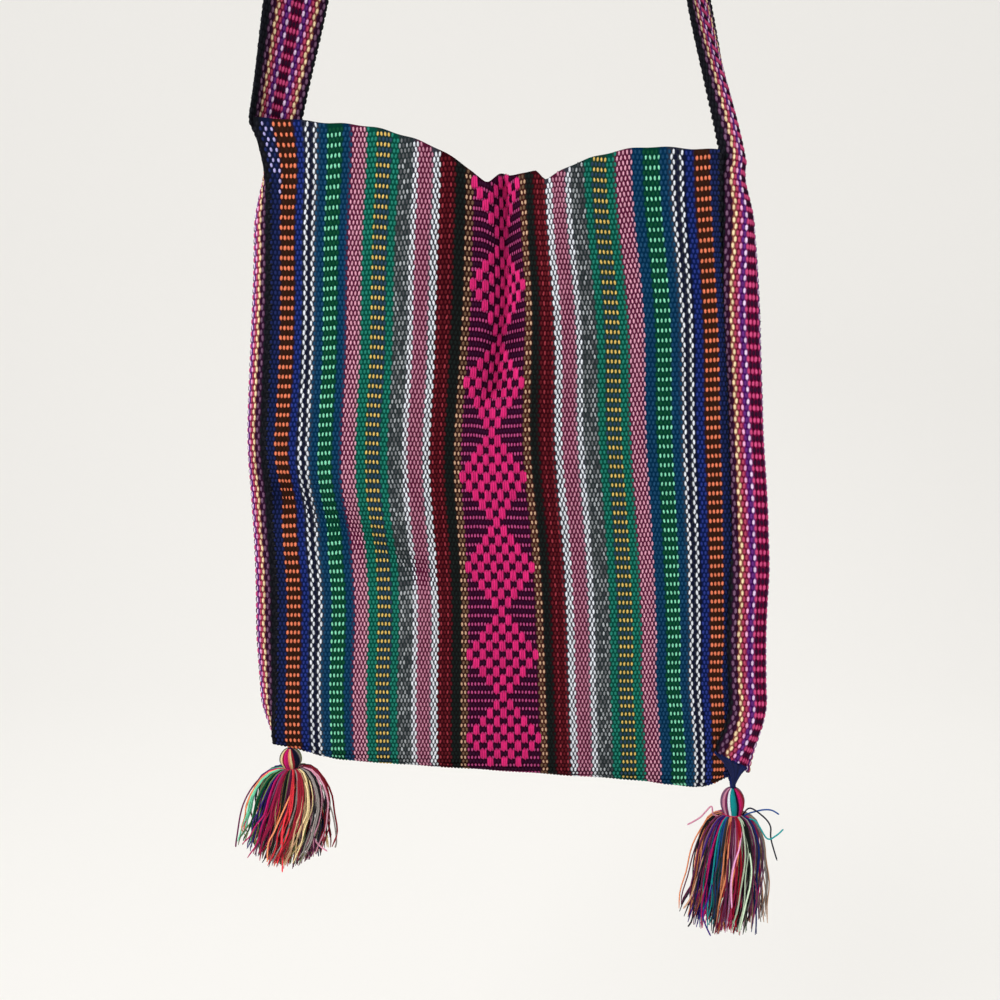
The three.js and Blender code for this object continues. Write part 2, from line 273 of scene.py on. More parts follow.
def mouthHeight(u, stand=1.0):
    standing = stand * ease(u, *mouth["foldStart"]) * (1 - ease(u, *mouth["foldEnd"]))
    rise = mouth["foldRise"] - mouth["foldDrop"] * ease(u, *mouth["foldFall"])
    sag = bag["mouthSag"] * (mouth["dip"] * hump(u - mouth["dipAt"], mouth["dipReach"]) - rise * standing)
    return mouthZ - bag["fallAcross"] * (u + 0.5) - sag


def footHeight(u):
    lift = bag["fallAcross"] * sum(share * hump(u - spot, reach) for share, spot, reach in footLifts)
    return footZ - bag["fallAcross"] * (u + 0.5) + lift


def flatFront(u, v):
    half, width = bag["brocadeHalf"], bag["panelWidth"]
    left, right, kept = frontLeft(v), frontRight(v), (0.5 - half) * width
    middle = mix(left + kept, right - kept, (u + half) / (2 * half))
    x = np.where(u > half, right - (0.5 - u) * width, middle)
    x = np.where(u < -half, left + (u + 0.5) * width, x)
    x = x - 0.33 * bag["depth"] * hump(v, 0.07) * hump(u + 0.5, 0.06)
    y = creaseDepth(u, v) * (1 - ease(v, 0.85, 1)) - halfDepth(v)
    z = mix(mouthHeight(u), footHeight(u), v)
    return np.stack(np.broadcast_arrays(x, y, z), axis=-1)


def flatBack(u, v):
    x = mix(backLeft(v), backRight(v), u + 0.5)
    z = mix(mouthHeight(u, mouth["backFold"]) - 0.25 * bag["depth"] * (1 - v), footHeight(u), v)
    return np.stack(np.broadcast_arrays(x, halfDepth(v), z), axis=-1)


def frontPoint(u, v):
    point = flatFront(u, v)
    radius = bag["edgeCurl"] * ease(v, 0.04, 0.3) * (1 - ease(v, 0.74, 0.84)) + 1e-6
    arc = radius * math.pi / 2
    inset = (0.5 - u) * bag["panelWidth"]
    angle = np.clip((arc - inset) / radius, 0, math.pi / 2)
    spread = (arc - radius) * ease(u, 0.08, 0.36)
    curled = inset - (radius - radius * np.sin(angle))
    point[..., 0] += np.where(inset < arc, curled, spread) + sidePull(u, v)
    point[..., 1] += radius * (1 - np.cos(angle)) + ripple(u, v) * (1 - ease(v, 0.9, 1))
    point[..., 0] -= bag["cornerPinch"][0] * ease(u, 0.36, 0.5) * ease(v, 0.9, 1)
    edgeWave = 0.0007 * np.sin(61 * u) * np.sin(23 * u + 1) + 0.002 * ease(u, 0.15, 0.4)
    point[..., 2] += edgeWave * (1 - v)
    return point


def backPoint(u, v):
    point = flatBack(u, v)
    point[..., 0] += (sidePull(u, v) - bag["cornerPinch"][1] * ease(u, 0.36, 0.5)) * ease(v, 0.9, 1)
    waves = 0.0016 * np.sin(5 * v + 3 * u) * np.sin(9 * u + 1) + ripple(u, v)
    point[..., 1] += waves * (1 - ease(v, 0.88, 1))
    return point


def clothPoint(u, s):
    u, s = np.broadcast_arrays(np.asarray(u, float), np.asarray(s, float))
    front = frontPoint(u, np.clip(s, 0, 1))
    back = backPoint(u, 1 - np.clip(s - 1 - foldShare, 0, 1))
    turn = (np.clip((s - 1) / foldShare, 0, 1) * math.pi)[..., None]
    folded = (front + back) / 2 - (back - front) / 2 * np.cos(turn)
    folded = folded - np.array([0, 0, bag["footHalfDepth"]]) * np.sin(turn)
    point = np.where((s <= 1)[..., None], front, folded)
    return np.where((s >= 1 + foldShare)[..., None], back, point)


def clothFrame(u, s):
    step = 0.0016
    along = clothPoint(u, s + step) - clothPoint(u, s - step)
    across = clothPoint(np.minimum(u + step, 0.5), s) - clothPoint(np.maximum(u - step, -0.5), s)
    outward = unit(np.cross(along, across))
    return clothPoint(u, s), unit(along), outward


# the strap: one band from hem to hem, both edges kept as lines of stations
gusset = {
    "foot": 27 / 28,  # where the band ends, as a share of the panel's height
    "stations": 130,
    "strandStations": 150,
    "bow": 0.465,  # how far the slack between the edges stands out
    "fullness": {  # base, steps (amount, from, to) and swells (amount, place, reach), down the height
        -1: (0.58, [(0.18, 0.15, 0.4), (-0.15, 0.8, 0.93), (-0.42, 0.9, 0.98)], [(0.12, 0.5, 0.1)]),
        1: (0.62, [(0.38, 0, 0.1), (0.26, 0.1, 0.26), (0.16, 0.4, 0.58), (-0.1, 0.74, 0.86)], [(0.12, 0.15, 0.08)]),
    },
    "crest": 0.59,  # share of the width where the right gusset folds back
    "crestRound": 0.02,
    "foldedFrom": (-0.34, -0.27),  # metres along the band, from the right hem
    "foldedTo": (-0.05, -0.01),
    "untwisted": 0.87,  # share of the strand over which it turns flat
}


def gussetEdges(side, v):
    atEdge, width, height = np.full_like(v, side / 2), bag["strapWidth"], bag["panelHeight"]
    front, back = flatFront(atEdge, v), flatBack(atEdge, v)
    front[:, 0] += sidePull(atEdge, v)
    front += np.array([side * bag["seamOut"], bag["strapInset"], 0])
    back += np.array([side * bag["seamOut"], -bag["strapInset"], 0])
    front[:, 0] -= side * bag["strapTuck"][0 if side < 0 else 1] * ease(v, -0.03, 0.04)
    if side < 0:
        front[:, 0] -= 0.08 * width * (1 - ease(v, 0, 0.06))
        for edge in (front, back):
            edge[:, 2] -= 0.03 * height * ease(v, 0.8, 0.96)
    else:
        # low down the band laps over the panel, and its hem is swept inwards
        lapped, swept = ease(v, 0.58, 0.72), ease(v, 0.86, 0.97)
        front[:, 1] -= lapped * 2 * bag["strapInset"]
        front[:, 0] -= 0.06 * width * ease(v, 0.62, 0.78)
        front[:, 0] -= swept * 0.27 * width
        front[:, 2] += swept * 0.1 * width
        back[:, 0] += swept * 0.05 * width
        back[:, 2] -= swept * 0.04 * height
    return front, back


def gussetFullness(side, v):
    base, steps, swells = gusset["fullness"][side]
    stepped = base + sum(amount * ease(v, low, high) for amount, low, high in steps)
    return stepped + sum(amount * hump(v - spot, reach) for amount, spot, reach in swells)


def strapStations():
    stations = []
    width, radius = bag["strapWidth"], bag["crownBend"]
    for side in (-1, 1):
        v = np.linspace(gusset["foot"], 0, gusset["stations"])
        front, back = gussetEdges(side, v)
        chord = back - front
        length = np.linalg.norm(chord, axis=1)
        bow = gussetFullness(side, v) * gusset["bow"] * np.sqrt(np.maximum(width ** 2 - length ** 2, 0))
        outward = unit(np.stack([side * chord[:, 1], -side * chord[:, 0], 0 * v], axis=1))
        rows = [(front, back, outward * bow[:, None])]

        # the strand, straight from the gusset to the crown, turning flat on its way
        foot = (front[-1] + back[-1]) / 2
        turn = math.atan2(chord[-1][0], chord[-1][1])
        centre = np.array([side * bag["crownLength"] / 2, 0, bag["strapThickness"] / 2 - radius])
        toFoot = foot - centre
        lean = math.atan2(toFoot[2], side * toFoot[0]) + math.acos(radius / math.hypot(toFoot[0], toFoot[2]))
        bend = centre + radius * np.array([side * math.cos(lean), 0, math.sin(lean)])
        t = np.linspace(0, 1, gusset["strandStations"])[1:]
        untwist = 1 - ease(t, 0.0, gusset["untwisted"])
        span = mix(length[-1], width, ease(t, 0, 0.18))
        middle = foot + (bend - foot) * t[:, None]
        half = np.stack([np.sin(turn * untwist), np.cos(turn * untwist), 0 * t], axis=1) * span[:, None] / 2
        half[:, 2] = 0.5 * chord[-1][2] * untwist
        fade = (np.linalg.norm(rows[0][2][-1]) * (1 - ease(t, 0, 0.2)))[:, None] * outward[-1]
        rows.append((middle - half, middle + half, fade))

        angle = np.linspace(lean, math.pi / 2, 18)[1:]
        middle = centre + radius * np.stack([side * np.cos(angle), 0 * angle, np.sin(angle)], axis=1)
        half = np.tile([0, width / 2, 0], (len(angle), 1))
        rows.append((middle - half, middle + half, 0 * half))
        joined = [np.concatenate([r[k] for r in rows]) for k in range(3)]
        stations.append(joined if side < 0 else [j[::-1] for j in joined])
    return [np.concatenate([stations[0][k], stations[1][k]]) for k in range(3)]


strapFront, strapBack, strapBow = strapStations()
strapMiddle = (strapFront + strapBack) / 2
strapFace = unit(np.cross(np.gradient(strapMiddle, axis=0), strapBack - strapFront))
strapSteps = np.linalg.norm(np.diff(strapMiddle, axis=0), axis=1)
strapRun = np.concatenate([[0], np.cumsum(strapSteps)])
strapLength = float(strapRun[-1])


# where an edge of the strap turns under itself: which edge, from which share of the width,
# how tightly, towards which face and where along the band
edgeRolls = {
    "leftStrandBack": {
        "edge": 1, "from": 0.84, "radius": 0.0042, "face": 1,
        "start": 0.345, "end": 0.66, "fade": 0.03,
    },
    "rightHemFront": {
        "edge": -1, "from": 0.115, "radius": 0.0011, "face": -1,
        "start": strapLength - 0.18, "end": strapLength + 0.1, "fade": 0.05,
    },
}


def turnUnder(w, run, roll):
    # the share of the width and the lift off the face at a place on a rolled edge
    start, end, fade, sign = roll["start"], roll["end"], roll["fade"], roll["edge"]
    active = ease(run, start, start + fade) * (1 - ease(run, end - fade, end))
    past = np.maximum(sign * (w - roll["from"]), 0) * bag["strapWidth"]
    angle = np.minimum(past / roll["radius"], math.pi)
    across = roll["radius"] * np.sin(angle) - (past - roll["radius"] * angle)
    share = np.where(past > 0, roll["from"] + sign * across / bag["strapWidth"], w)
    return mix(w, share, active), roll["face"] * roll["radius"] * (1 - np.cos(angle)) * active


def strapPoint(w, run):
    w, run = np.broadcast_arrays(np.asarray(w, float), np.asarray(run, float))
    lines = (strapFront, strapBack, strapBow, strapFace)
    at = [np.stack([np.interp(run, strapRun, line[:, k]) for k in range(3)], axis=-1) for line in lines]
    lift = np.zeros(w.shape)
    for roll in edgeRolls.values():
        w, raised = turnUnder(w, run, roll)
        lift = lift + raised
    # low on the right the gusset lies flat and turns back along its ladder, elsewhere it is round
    fromHem, crest = run - strapLength, gusset["crest"]
    folded = ease(fromHem, *gusset["foldedFrom"]) * (1 - ease(fromHem, *gusset["foldedTo"]))
    rise, fall = w / crest, (1 - w) / (1 - crest)
    peak = (rise + fall - np.sqrt((rise - fall) ** 2 + gusset["crestRound"])) / 2
    bulge = mix(4 * w * (1 - w), peak, folded)
    return at[0] + (at[1] - at[0]) * w[..., None] + at[2] * bulge[..., None] + at[3] * lift[..., None]


def strapFrame(w, run):
    step, sideStep = 0.0012, 0.02
    along = strapPoint(w, np.minimum(run + step, strapLength)) - strapPoint(w, np.maximum(run - step, 0))
    across = strapPoint(np.minimum(w + sideStep, 1), run) - strapPoint(np.maximum(w - sideStep, 0), run)
    outward = unit(np.cross(along, across))
    return strapPoint(w, run), unit(along), outward


print("forms ready, strap", round(strapLength, 3), "m")


# helpers for node trees
def setInputs(node, values):
    for key, value in values.items():
        node.inputs[key].default_value = value


def addNode(tree, kind, values=None, **settings):
    node = tree.nodes.new(kind)
    for key, value in settings.items():
        setattr(node, key, value)
    setInputs(node, values or {})
    return node


def join(tree, *pairs):
    for start, end in pairs:
        tree.links.new(start, end)


# finishes
def yarnFinish(name, grain, bump, rough, sheen):
    material = bpy.data.materials.new(name)
    material.use_nodes = True
    tree = material.node_tree
    shader = tree.nodes["Principled BSDF"]
    setInputs(shader, {"Roughness": rough, "Specular IOR Level": 0.03, "Sheen Weight": sheen, "Sheen Roughness": 0.5})
    dye = addNode(tree, "ShaderNodeAttribute", attribute_name="yarn")
    spot = addNode(tree, "ShaderNodeTexCoord")
    turned = addNode(tree, "ShaderNodeMapping", {"Scale": grain})
    fibre = addNode(tree, "ShaderNodeTexNoise", {"Scale": 1.0, "Detail": 2.0})
    tone = addNode(tree, "ShaderNodeMapRange", {"From Min": 0.25, "From Max": 0.75, "To Min": 0.72, "To Max": 1.18})
    tint = addNode(tree, "ShaderNodeVectorMath", operation="SCALE")
    lift = addNode(tree, "ShaderNodeBump", {"Strength": bump, "Distance": 0.0004})
    join(
        tree,
        (spot.outputs["Object"], turned.inputs["Vector"]),
        (turned.outputs["Vector"], fibre.inputs["Vector"]),
        (fibre.outputs["Fac"], tone.inputs["Value"]),
        (dye.outputs["Color"], tint.inputs[0]),
        (tone.outputs["Result"], tint.inputs["Scale"]),
        (tint.outputs["Vector"], shader.inputs["Base Color"]),
        (fibre.outputs["Fac"], lift.inputs["Height"]),
        (lift.outputs["Normal"], shader.inputs["Normal"]),
    )
    return material


panelFinish = yarnFinish("panelWarp", (3200, 3200, 900), 0.35, 0.85, 0.01)
groundFinish = yarnFinish("panelGround", (2600, 2600, 1100), 0.5, 0.95, 0.0)
brocadeFinish = yarnFinish("brocadeWool", (3600, 3600, 500), 0.45, 0.82, 0.02)
strapFinish = yarnFinish("strapWarp", (2800, 2800, 900), 0.35, 0.85, 0.01)
strapGroundFinish = yarnFinish("strapGround", (2600, 2600, 1100), 0.5, 0.95, 0.0)
threadFinish = yarnFinish("seamThread", (3000, 3000, 3000), 0.4, 0.8, 0.03)
tasselFinish = yarnFinish("tasselYarn", (2600, 2600, 900), 0.5, 0.85, 0.05)
bindingFinish = yarnFinish("bindingThread", (2600, 2600, 2600), 0.4, 0.8, 0.04)
tieFinish = yarnFinish("tieThread", (3000, 3000, 1800), 0.4, 0.82, 0.04)


# helpers for meshes
def plainMesh(name, points, faces, colour=None, edges=()):
    mesh = bpy.data.meshes.new(name)
    mesh.from_pydata([tuple(p) for p in points], list(edges), [tuple(f) for f in faces])
    if colour is not None:
        addColour(mesh, "yarn", colour)
    return mesh


def addColour(mesh, name, colour):
    layer = mesh.attributes.new(name, "FLOAT_COLOR", "POINT")
    full = np.ones((len(mesh.vertices), 4))
    full[:, :3] = colour
    layer.data.foreach_set("color", full.ravel())


def addVector(mesh, name, vectors):
    layer = mesh.attributes.new(name, "FLOAT_VECTOR", "POINT")
    layer.data.foreach_set("vector", np.ascontiguousarray(vectors, dtype=np.float32).ravel())


def place(name, mesh):
    piece = bpy.data.objects.new(name, mesh)
    scene.collection.objects.link(piece)
    return piece


def inputNames(tree):
    sockets = [s for s in tree.interface.items_tree if s.item_type == "SOCKET"]
    return {s.name: s.identifier for s in sockets if s.in_out == "INPUT"}


def settle(piece):
    graph = bpy.context.evaluated_depsgraph_get()
    made = piece.evaluated_get(graph)
    mesh = bpy.data.meshes.new_from_object(made, preserve_all_data_layers=True, depsgraph=graph)
    start = piece.data
    piece.modifiers.clear()
    piece.data = mesh
    bpy.data.meshes.remove(start)
    return piece


def runTree(piece, tree, values):
    modifier = piece.modifiers.new(tree.name, "NODES")
    modifier.node_group = tree
    keys = inputNames(tree)
    for label, value in values.items():
        modifier[keys[label]] = value
    return settle(piece)


def newTree(name, sockets):
    tree = bpy.data.node_groups.new(name, "GeometryNodeTree")
    tree.interface.new_socket("Geometry", in_out="INPUT", socket_type="NodeSocketGeometry")
    for label, kind in sockets.items():
        tree.interface.new_socket(label, in_out="INPUT", socket_type="NodeSocket" + kind)
    tree.interface.new_socket("Geometry", in_out="OUTPUT", socket_type="NodeSocketGeometry")
    return tree, tree.nodes.new("NodeGroupInput"), tree.nodes.new("NodeGroupOutput")


def endTree(tree, given, result, made):
    # real geometry, shaded smooth, in the finish that is given
    real = addNode(tree, "GeometryNodeRealizeInstances")
    smooth = addNode(tree, "GeometryNodeSetShadeSmooth")
    finish = addNode(tree, "GeometryNodeSetMaterial")
    join(
        tree,
        (made, real.inputs["Geometry"]),
        (real.outputs["Geometry"], smooth.inputs["Geometry"]),
        (smooth.outputs["Geometry"], finish.inputs["Geometry"]),
        (given.outputs["Finish"], finish.inputs["Material"]),
        (finish.outputs["Geometry"], result.inputs["Geometry"]),
    )
    return tree


def named(tree, name, kind):
    return addNode(tree, "GeometryNodeInputNamedAttribute", {"Name": name}, data_type=kind).outputs["Attribute"]


def pointTree():
    # one small shape set on every point, turned to the cloth and scaled by the point's own size
    tree, given, result = newTree("shapeOnPoints", {
        "Shape": "Object", "Half Width": "Float", "Half Length": "Float", "Height": "Float",
        "Unevenness": "Float", "Finish": "Material",
    })
    shape = addNode(tree, "GeometryNodeObjectInfo")
    turn = addNode(tree, "FunctionNodeAxesToRotation", primary_axis="Z", secondary_axis="Y")
    size = addNode(tree, "ShaderNodeCombineXYZ")
    own = addNode(tree, "ShaderNodeVectorMath", operation="MULTIPLY")
    spread = addNode(tree, "FunctionNodeRandomValue", {"Seed": 11})
    least = addNode(tree, "ShaderNodeMath", {0: 1.0}, operation="SUBTRACT")
    uneven = addNode(tree, "ShaderNodeVectorMath", operation="SCALE")
    onPoints = addNode(tree, "GeometryNodeInstanceOnPoints")
    join(
        tree,
        (given.outputs["Shape"], shape.inputs["Object"]),
        (named(tree, "outward", "FLOAT_VECTOR"), turn.inputs[0]),
        (named(tree, "along", "FLOAT_VECTOR"), turn.inputs[1]),
        (given.outputs["Half Width"], size.inputs["X"]),
        (given.outputs["Half Length"], size.inputs["Y"]),
        (given.outputs["Height"], size.inputs["Z"]),
        (size.outputs["Vector"], own.inputs[0]),
        (named(tree, "girth", "FLOAT_VECTOR"), own.inputs[1]),
        (given.outputs["Unevenness"], least.inputs[1]),
        (least.outputs["Value"], spread.inputs[2]),
        (own.outputs["Vector"], uneven.inputs[0]),
        (spread.outputs[1], uneven.inputs["Scale"]),
        (given.outputs["Geometry"], onPoints.inputs["Points"]),
        (shape.outputs["Geometry"], onPoints.inputs["Instance"]),
        (turn.outputs["Rotation"], onPoints.inputs["Rotation"]),
        (uneven.outputs["Vector"], onPoints.inputs["Scale"]),
    )
    return endTree(tree, given, result, onPoints.outputs["Instances"])


def strandTree():
    # lines of points made into round yarns, each point with its own radius
    tree, given, result = newTree("yarnOnLines", {"Sides": "Int", "Finish": "Material"})
    lines = addNode(tree, "GeometryNodeMeshToCurve")
    girth = addNode(tree, "GeometryNodeSetCurveRadius")
    ring = addNode(tree, "GeometryNodeCurvePrimitiveCircle", {"Radius": 1.0})
    tube = addNode(tree, "GeometryNodeCurveToMesh", {"Fill Caps": True})
    radius = named(tree, "radius", "FLOAT")
    join(
        tree,
        (given.outputs["Geometry"], lines.inputs["Mesh"]),
        (lines.outputs["Curve"], girth.inputs["Curve"]),
        (radius, girth.inputs["Radius"]),
        (given.outputs["Sides"], ring.inputs["Resolution"]),
        (girth.outputs["Curve"], tube.inputs["Curve"]),
        (ring.outputs["Curve"], tube.inputs["Profile Curve"]),
    )
    if "Scale" in tube.inputs:
        join(tree, (radius, tube.inputs["Scale"]))
    return endTree(tree, given, result, tube.outputs["Mesh"])


shapeOnPoints, yarnOnLines = pointTree(), strandTree()

# one float: a low dome that narrows to its ends, with painted shade at its rim where it dips under the weft and a
# painted highlight along its ridge
floatFaces = [(0, 5, 6), (0, 6, 1), (1, 6, 7, 2), (5, 4, 7, 6), (3, 7, 4), (3, 2, 7)]
floatShadeAndHighlight = np.array([0.14, 0.34, 0.34, 0.14, 0.34, 0.34, 1.0, 1.0])


def floatPoints(shoulder, ridge):
    rim = [(0, 1), (1, shoulder), (1, -shoulder), (0, -1), (-1, -shoulder), (-1, shoulder)]
    return [(x, y, 0) for x, y in rim] + [(0, ridge, 1), (0, -ridge, 1)]


floatShapes = {"warp": floatPoints(0.45, 0.4), "brocade": floatPoints(0.66, 0.62)}
floatObjects = {}
for kind, points in floatShapes.items():
    floatObjects[kind] = place(kind + "Float", plainMesh(kind + "Float", points, floatFaces))
colourMap = {"cellShare": 0.42, "margin": 0.0005}  # how much of its cell a float fills, and the free edge


def setFloats(name, points, along, outward, colour, gapWeftAndShade, girth, sizes, finish, flatPlace, flatStep, kind="warp"):
    mesh = plainMesh(name, points, [], colour)
    addVector(mesh, "along", along)
    addVector(mesh, "outward", outward)
    addVector(mesh, "girth", girth)
    piece = place(name, mesh)
    runTree(piece, shapeOnPoints, {
        "Shape": floatObjects[kind], "Half Width": sizes["halfWidth"], "Half Length": sizes["halfLength"],
        "Height": sizes["height"], "Unevenness": sizes["unevenness"], "Finish": finish,
    })
    mesh = piece.data
    count, corners = len(points), len(floatShadeAndHighlight)
    # each float's colour runs from its gap tone at the rim, painted shade, to a paler crown, a painted highlight
    crownWithPaintedHighlight = mix(colour, colour.max(axis=1, keepdims=True), sizes["paintedHighlight"])
    full = np.ones((count * corners, 4))
    full[:, :3] = mix(gapWeftAndShade[:, None, :], crownWithPaintedHighlight[:, None, :], floatShadeAndHighlight[None, :, None]).reshape(-1, 3)
    mesh.attributes["yarn"].data.foreach_set("color", full.ravel())
    for spare in ("along", "outward", "girth"):
        mesh.attributes.remove(mesh.attributes[spare])
    # the flat cloth is the map for the colour, one cell to a float
    cell = np.array([(p[0], p[1]) for p in floatShapes[kind]]) * colourMap["cellShare"] * np.array(flatStep)
    spot = (np.repeat(flatPlace, corners, axis=0) + np.tile(cell, (count, 1))).astype(np.float32)
    corner = np.empty(len(mesh.loops), dtype=np.int32)
    mesh.loops.foreach_get("vertex_index", corner)
    layer = mesh.uv_layers.new(name="OFBake")
    layer.data.foreach_set("uv", np.clip(spot[corner], colourMap["margin"], 1 - colourMap["margin"]).ravel())
    return piece


def makeYarns(name, strands, finish, sides=5):
    # strands: list of (points, radii, colour)
    points, edges, radii, colours = [], [], [], []
    for line, radius, colour in strands:
        first = len(points)
        points += [tuple(p) for p in line]
        edges += [(first + k, first + k + 1) for k in range(len(line) - 1)]
        radii += list(np.broadcast_to(radius, len(line)))
        colours += [colour] * len(line)
    mesh = plainMesh(name, points, [], np.array(colours), edges)
    layer = mesh.attributes.new("radius", "FLOAT", "POINT")
    layer.data.foreach_set("value", np.array(radii, dtype=np.float32))
    return runTree(place(name, mesh), yarnOnLines, {"Sides": sides, "Finish": finish})


def thinSheet(name, points, outward, thickness, colour, finish, insideShare):
    # a closed thin cloth from a grid of points: outer face, inner face and the rim between them
    rows, columns = points.shape[:2]
    outer = (points + outward * thickness / 2).reshape(-1, 3)
    inner = (points - outward * thickness / 2).reshape(-1, 3)
    number = np.arange(rows * columns).reshape(rows, columns)
    quads = np.stack([number[:-1, :-1], number[1:, :-1], number[1:, 1:], number[:-1, 1:]], axis=-1)
    quads = quads.reshape(-1, 4)
    rim = np.concatenate([number[0, :-1], number[:-1, -1], number[-1, :0:-1], number[:0:-1, 0]])
    onward = np.roll(rim, -1)
    total = rows * columns
    sides = np.stack([rim, onward, onward + total, rim + total], axis=-1)
    faces = np.concatenate([quads, quads[:, ::-1] + total, sides])
    shades = np.concatenate([colour.reshape(-1, 3), colour.reshape(-1, 3) * insideShare])
    mesh = plainMesh(name, np.concatenate([outer, inner]), faces.tolist(), shades)
    mesh.shade_smooth()
    mesh.materials.append(finish)
    return place(name, mesh)


# the panel's weave
weavePlan = {
    "pick": 0.0028,  # weft rows lie level and this far apart
    "looser": 0.005,  # rows open up a little towards the mouth
    "looserOver": 136,
    "picks": 300,
    "firstRow": -0.513,
    "margin": 0.003,  # bare share of the height at each mouth edge
    "ground": 0.0011,  # thickness under the floats
    "groundGrid": (131, 70, 9),  # columns, rows of a panel and rows of the fold
    "insideShade": 2.4,
    "halfWidth": 0.00086,
    "halfLength": 0.0016,
    "height": 0.0006,
    "unevenness": 0.12,
    "paintedHighlight": 0.06,  # painted highlight: how far the top of a float fades towards white
    "seed": 5,
    "edgeToMiddle": [
        (2, ["black"]), (5, ["navy"]), (8, ["orange", "blackBrown"]), (4, ["royal"]), (1, ["inkBlue"]), (2, ["white"]),
        (2, ["inkBlue"]), (2, ["white"]), (5, ["petrol"]), (8, ["mint", "darkGreen"]), (5, ["petrol"]),
        (8, ["dustyPink"]), (5, ["green"]), (8, ["yellow", "slate"]), (4, ["green"]), (8, ["marl"]), (3, ["white"]),
        (8, ["rose"]), (4, ["white"]), (8, ["maroonDark", "maroon", "maroonDark", "maroonDark"]),
        (5, ["blackGreen"]), (4, ["beige", "oliveDrab"]),
    ],
    "brocadeEnds": 42,
    "lavenderDots": {3: 0.085, 4: 0.085, 6: 0.11},  # warp end, and how far down its dots run
    # rows sag into the fold: metres, middle, reach, and the rows over which they level out
    "dip": (0.0055, 0.006, 0.05, 15, 95),
    "girth": {  # thinner or longer floats of some yarns: width, length, height
        "orange": (1.06, 1.08, 1.0), "mint": (0.82, 1.06, 1.0), "dustyPink": (0.8, 1.12, 1.0),
        "rose": (0.8, 1.12, 1.0), "white": (0.92, 1.28, 1.0), "yellow": (0.86, 1.0, 1.0), "marl": (0.84, 1.1, 1.0),
        "beige": (0.84, 1.0, 1.0), "maroon": (0.82, 1.1, 1.0), "softPink": (0.82, 0.92, 0.9),
    },
}


def warpNames():
    half = []
    for count, names in weavePlan["edgeToMiddle"]:
        half += [names[k % len(names)] for k in range(count)]
    middle = [("purpleBlack", "softPink")[(len(half) + k) % 2] for k in range(weavePlan["brocadeEnds"])]
    return half + middle + half[::-1]


warp = warpNames()
endCount = len(warp)
chance = np.random.default_rng(weavePlan["seed"])
sunk = 0.00005  # floats start this far inside the ground


def endColours(names):
    return np.array([linearColour("marlDark" if n == "marl" else n) for n in names])


def endGapWeftAndShade(names):
    return np.array([linear(gapWeftAndShadeTones[n]) for n in names])


def unevenTone(colour, least, span):
    return colour * (least + span * chance.random(len(colour)))[:, None]


def unevenTurn(along, outward, amount):
    return unit(along + amount * np.cross(outward, along) * chance.normal(size=(len(along), 1)))


columns, panelRows, foldRows = weavePlan["groundGrid"]
groundU, panelS = np.linspace(-0.5, 0.5, columns), np.linspace(0, 1, panelRows)
foldS = np.linspace(0, 1, foldRows)[1:-1]
groundS = np.concatenate([panelS, 1 + foldShare * foldS, 1 + foldShare + panelS])
gridU, gridS = np.meshgrid(groundU, groundS)
sheetPoints, _, sheetOut = clothFrame(gridU, gridS)
endOfColumn = np.clip(((groundU + 0.5) * endCount).astype(int), 0, endCount - 1)
# the ground sheet takes the gap tones, weft colour with painted shade
groundWeftAndShade = np.tile(endGapWeftAndShade(warp)[endOfColumn], (len(groundS), 1, 1))
bodyCloth = thinSheet(
    "bodyCloth", sheetPoints, sheetOut, weavePlan["ground"], groundWeftAndShade, groundFinish, weavePlan["insideShade"],
)
print("ground cloth", len(bodyCloth.data.polygons), "faces")


def rowShare(u, pick):
    # where a level row of weft crosses a warp end, as a share of the panel from the mouth
    deep, middle, reach, first, last = weavePlan["dip"]
    fall = weavePlan["pick"] * pick + weavePlan["looser"] * np.sin(math.pi * pick / weavePlan["looserOver"])
    fall = fall + deep * hump(u - middle, reach) * (1 - ease(pick, first, last))
    return (mouthHeight(u) - weavePlan["firstRow"] + fall) / (mouthHeight(u) - footHeight(u))


def panelFloats(name, low, high, lavenderEdge):
    pick, end = np.meshgrid(np.arange(weavePlan["picks"]), np.arange(endCount), indexing="ij")
    shown = (pick + end) % 2 == 0
    pick, end = pick[shown], end[shown]
    u = -0.5 + (end + 0.5) / endCount
    s = rowShare(u, pick)
    inside = (s > low) & (s < high)
    pick, end, u, s = pick[inside], end[inside], u[inside], s[inside]
    points, along, outward = clothFrame(u, s)
    colour = endColours(warp)[end]
    marl = np.array([n == "marl" for n in warp])[end]
    lightness = chance.random(len(end))[:, None] ** 1.4
    flecked = mix(linearColour("marlDark"), linearColour("marlLight"), lightness)
    colour = np.where(marl[:, None], flecked, colour)
    if lavenderEdge:
        reach = np.array([weavePlan["lavenderDots"].get(k, 0.0) for k in range(endCount)])[end]
        colour = np.where((s < reach)[:, None], linearColour("lavender"), colour)
    colour = unevenTone(colour, 0.88, 0.24)
    along = unevenTurn(along, outward, 0.1)
    points = points + outward * (weavePlan["ground"] / 2 - sunk)
    girth = np.array([weavePlan["girth"].get(n, (1.0, 1.0, 1.0)) for n in warp])[end]
    rows = pick.max() - pick.min() + 1
    flat = np.stack([(end + 0.5) / endCount, 1 - (pick - pick.min() + 0.5) / rows], axis=1)
    # the floats' rims fade to the gap tones, weft colour with painted shade
    gapWeftAndShade, step = endGapWeftAndShade(warp)[end], (2 / endCount, 1 / rows)
    return setFloats(name, points, along, outward, colour, gapWeftAndShade, girth, weavePlan, panelFinish, flat, step)


frontWeave = panelFloats("frontWeave", weavePlan["margin"], clothLength / 2, True)
backWeave = panelFloats("backWeave", clothLength / 2, clothLength - weavePlan["margin"], False)
print("panel floats", len(frontWeave.data.polygons) + len(backWeave.data.polygons), "faces")

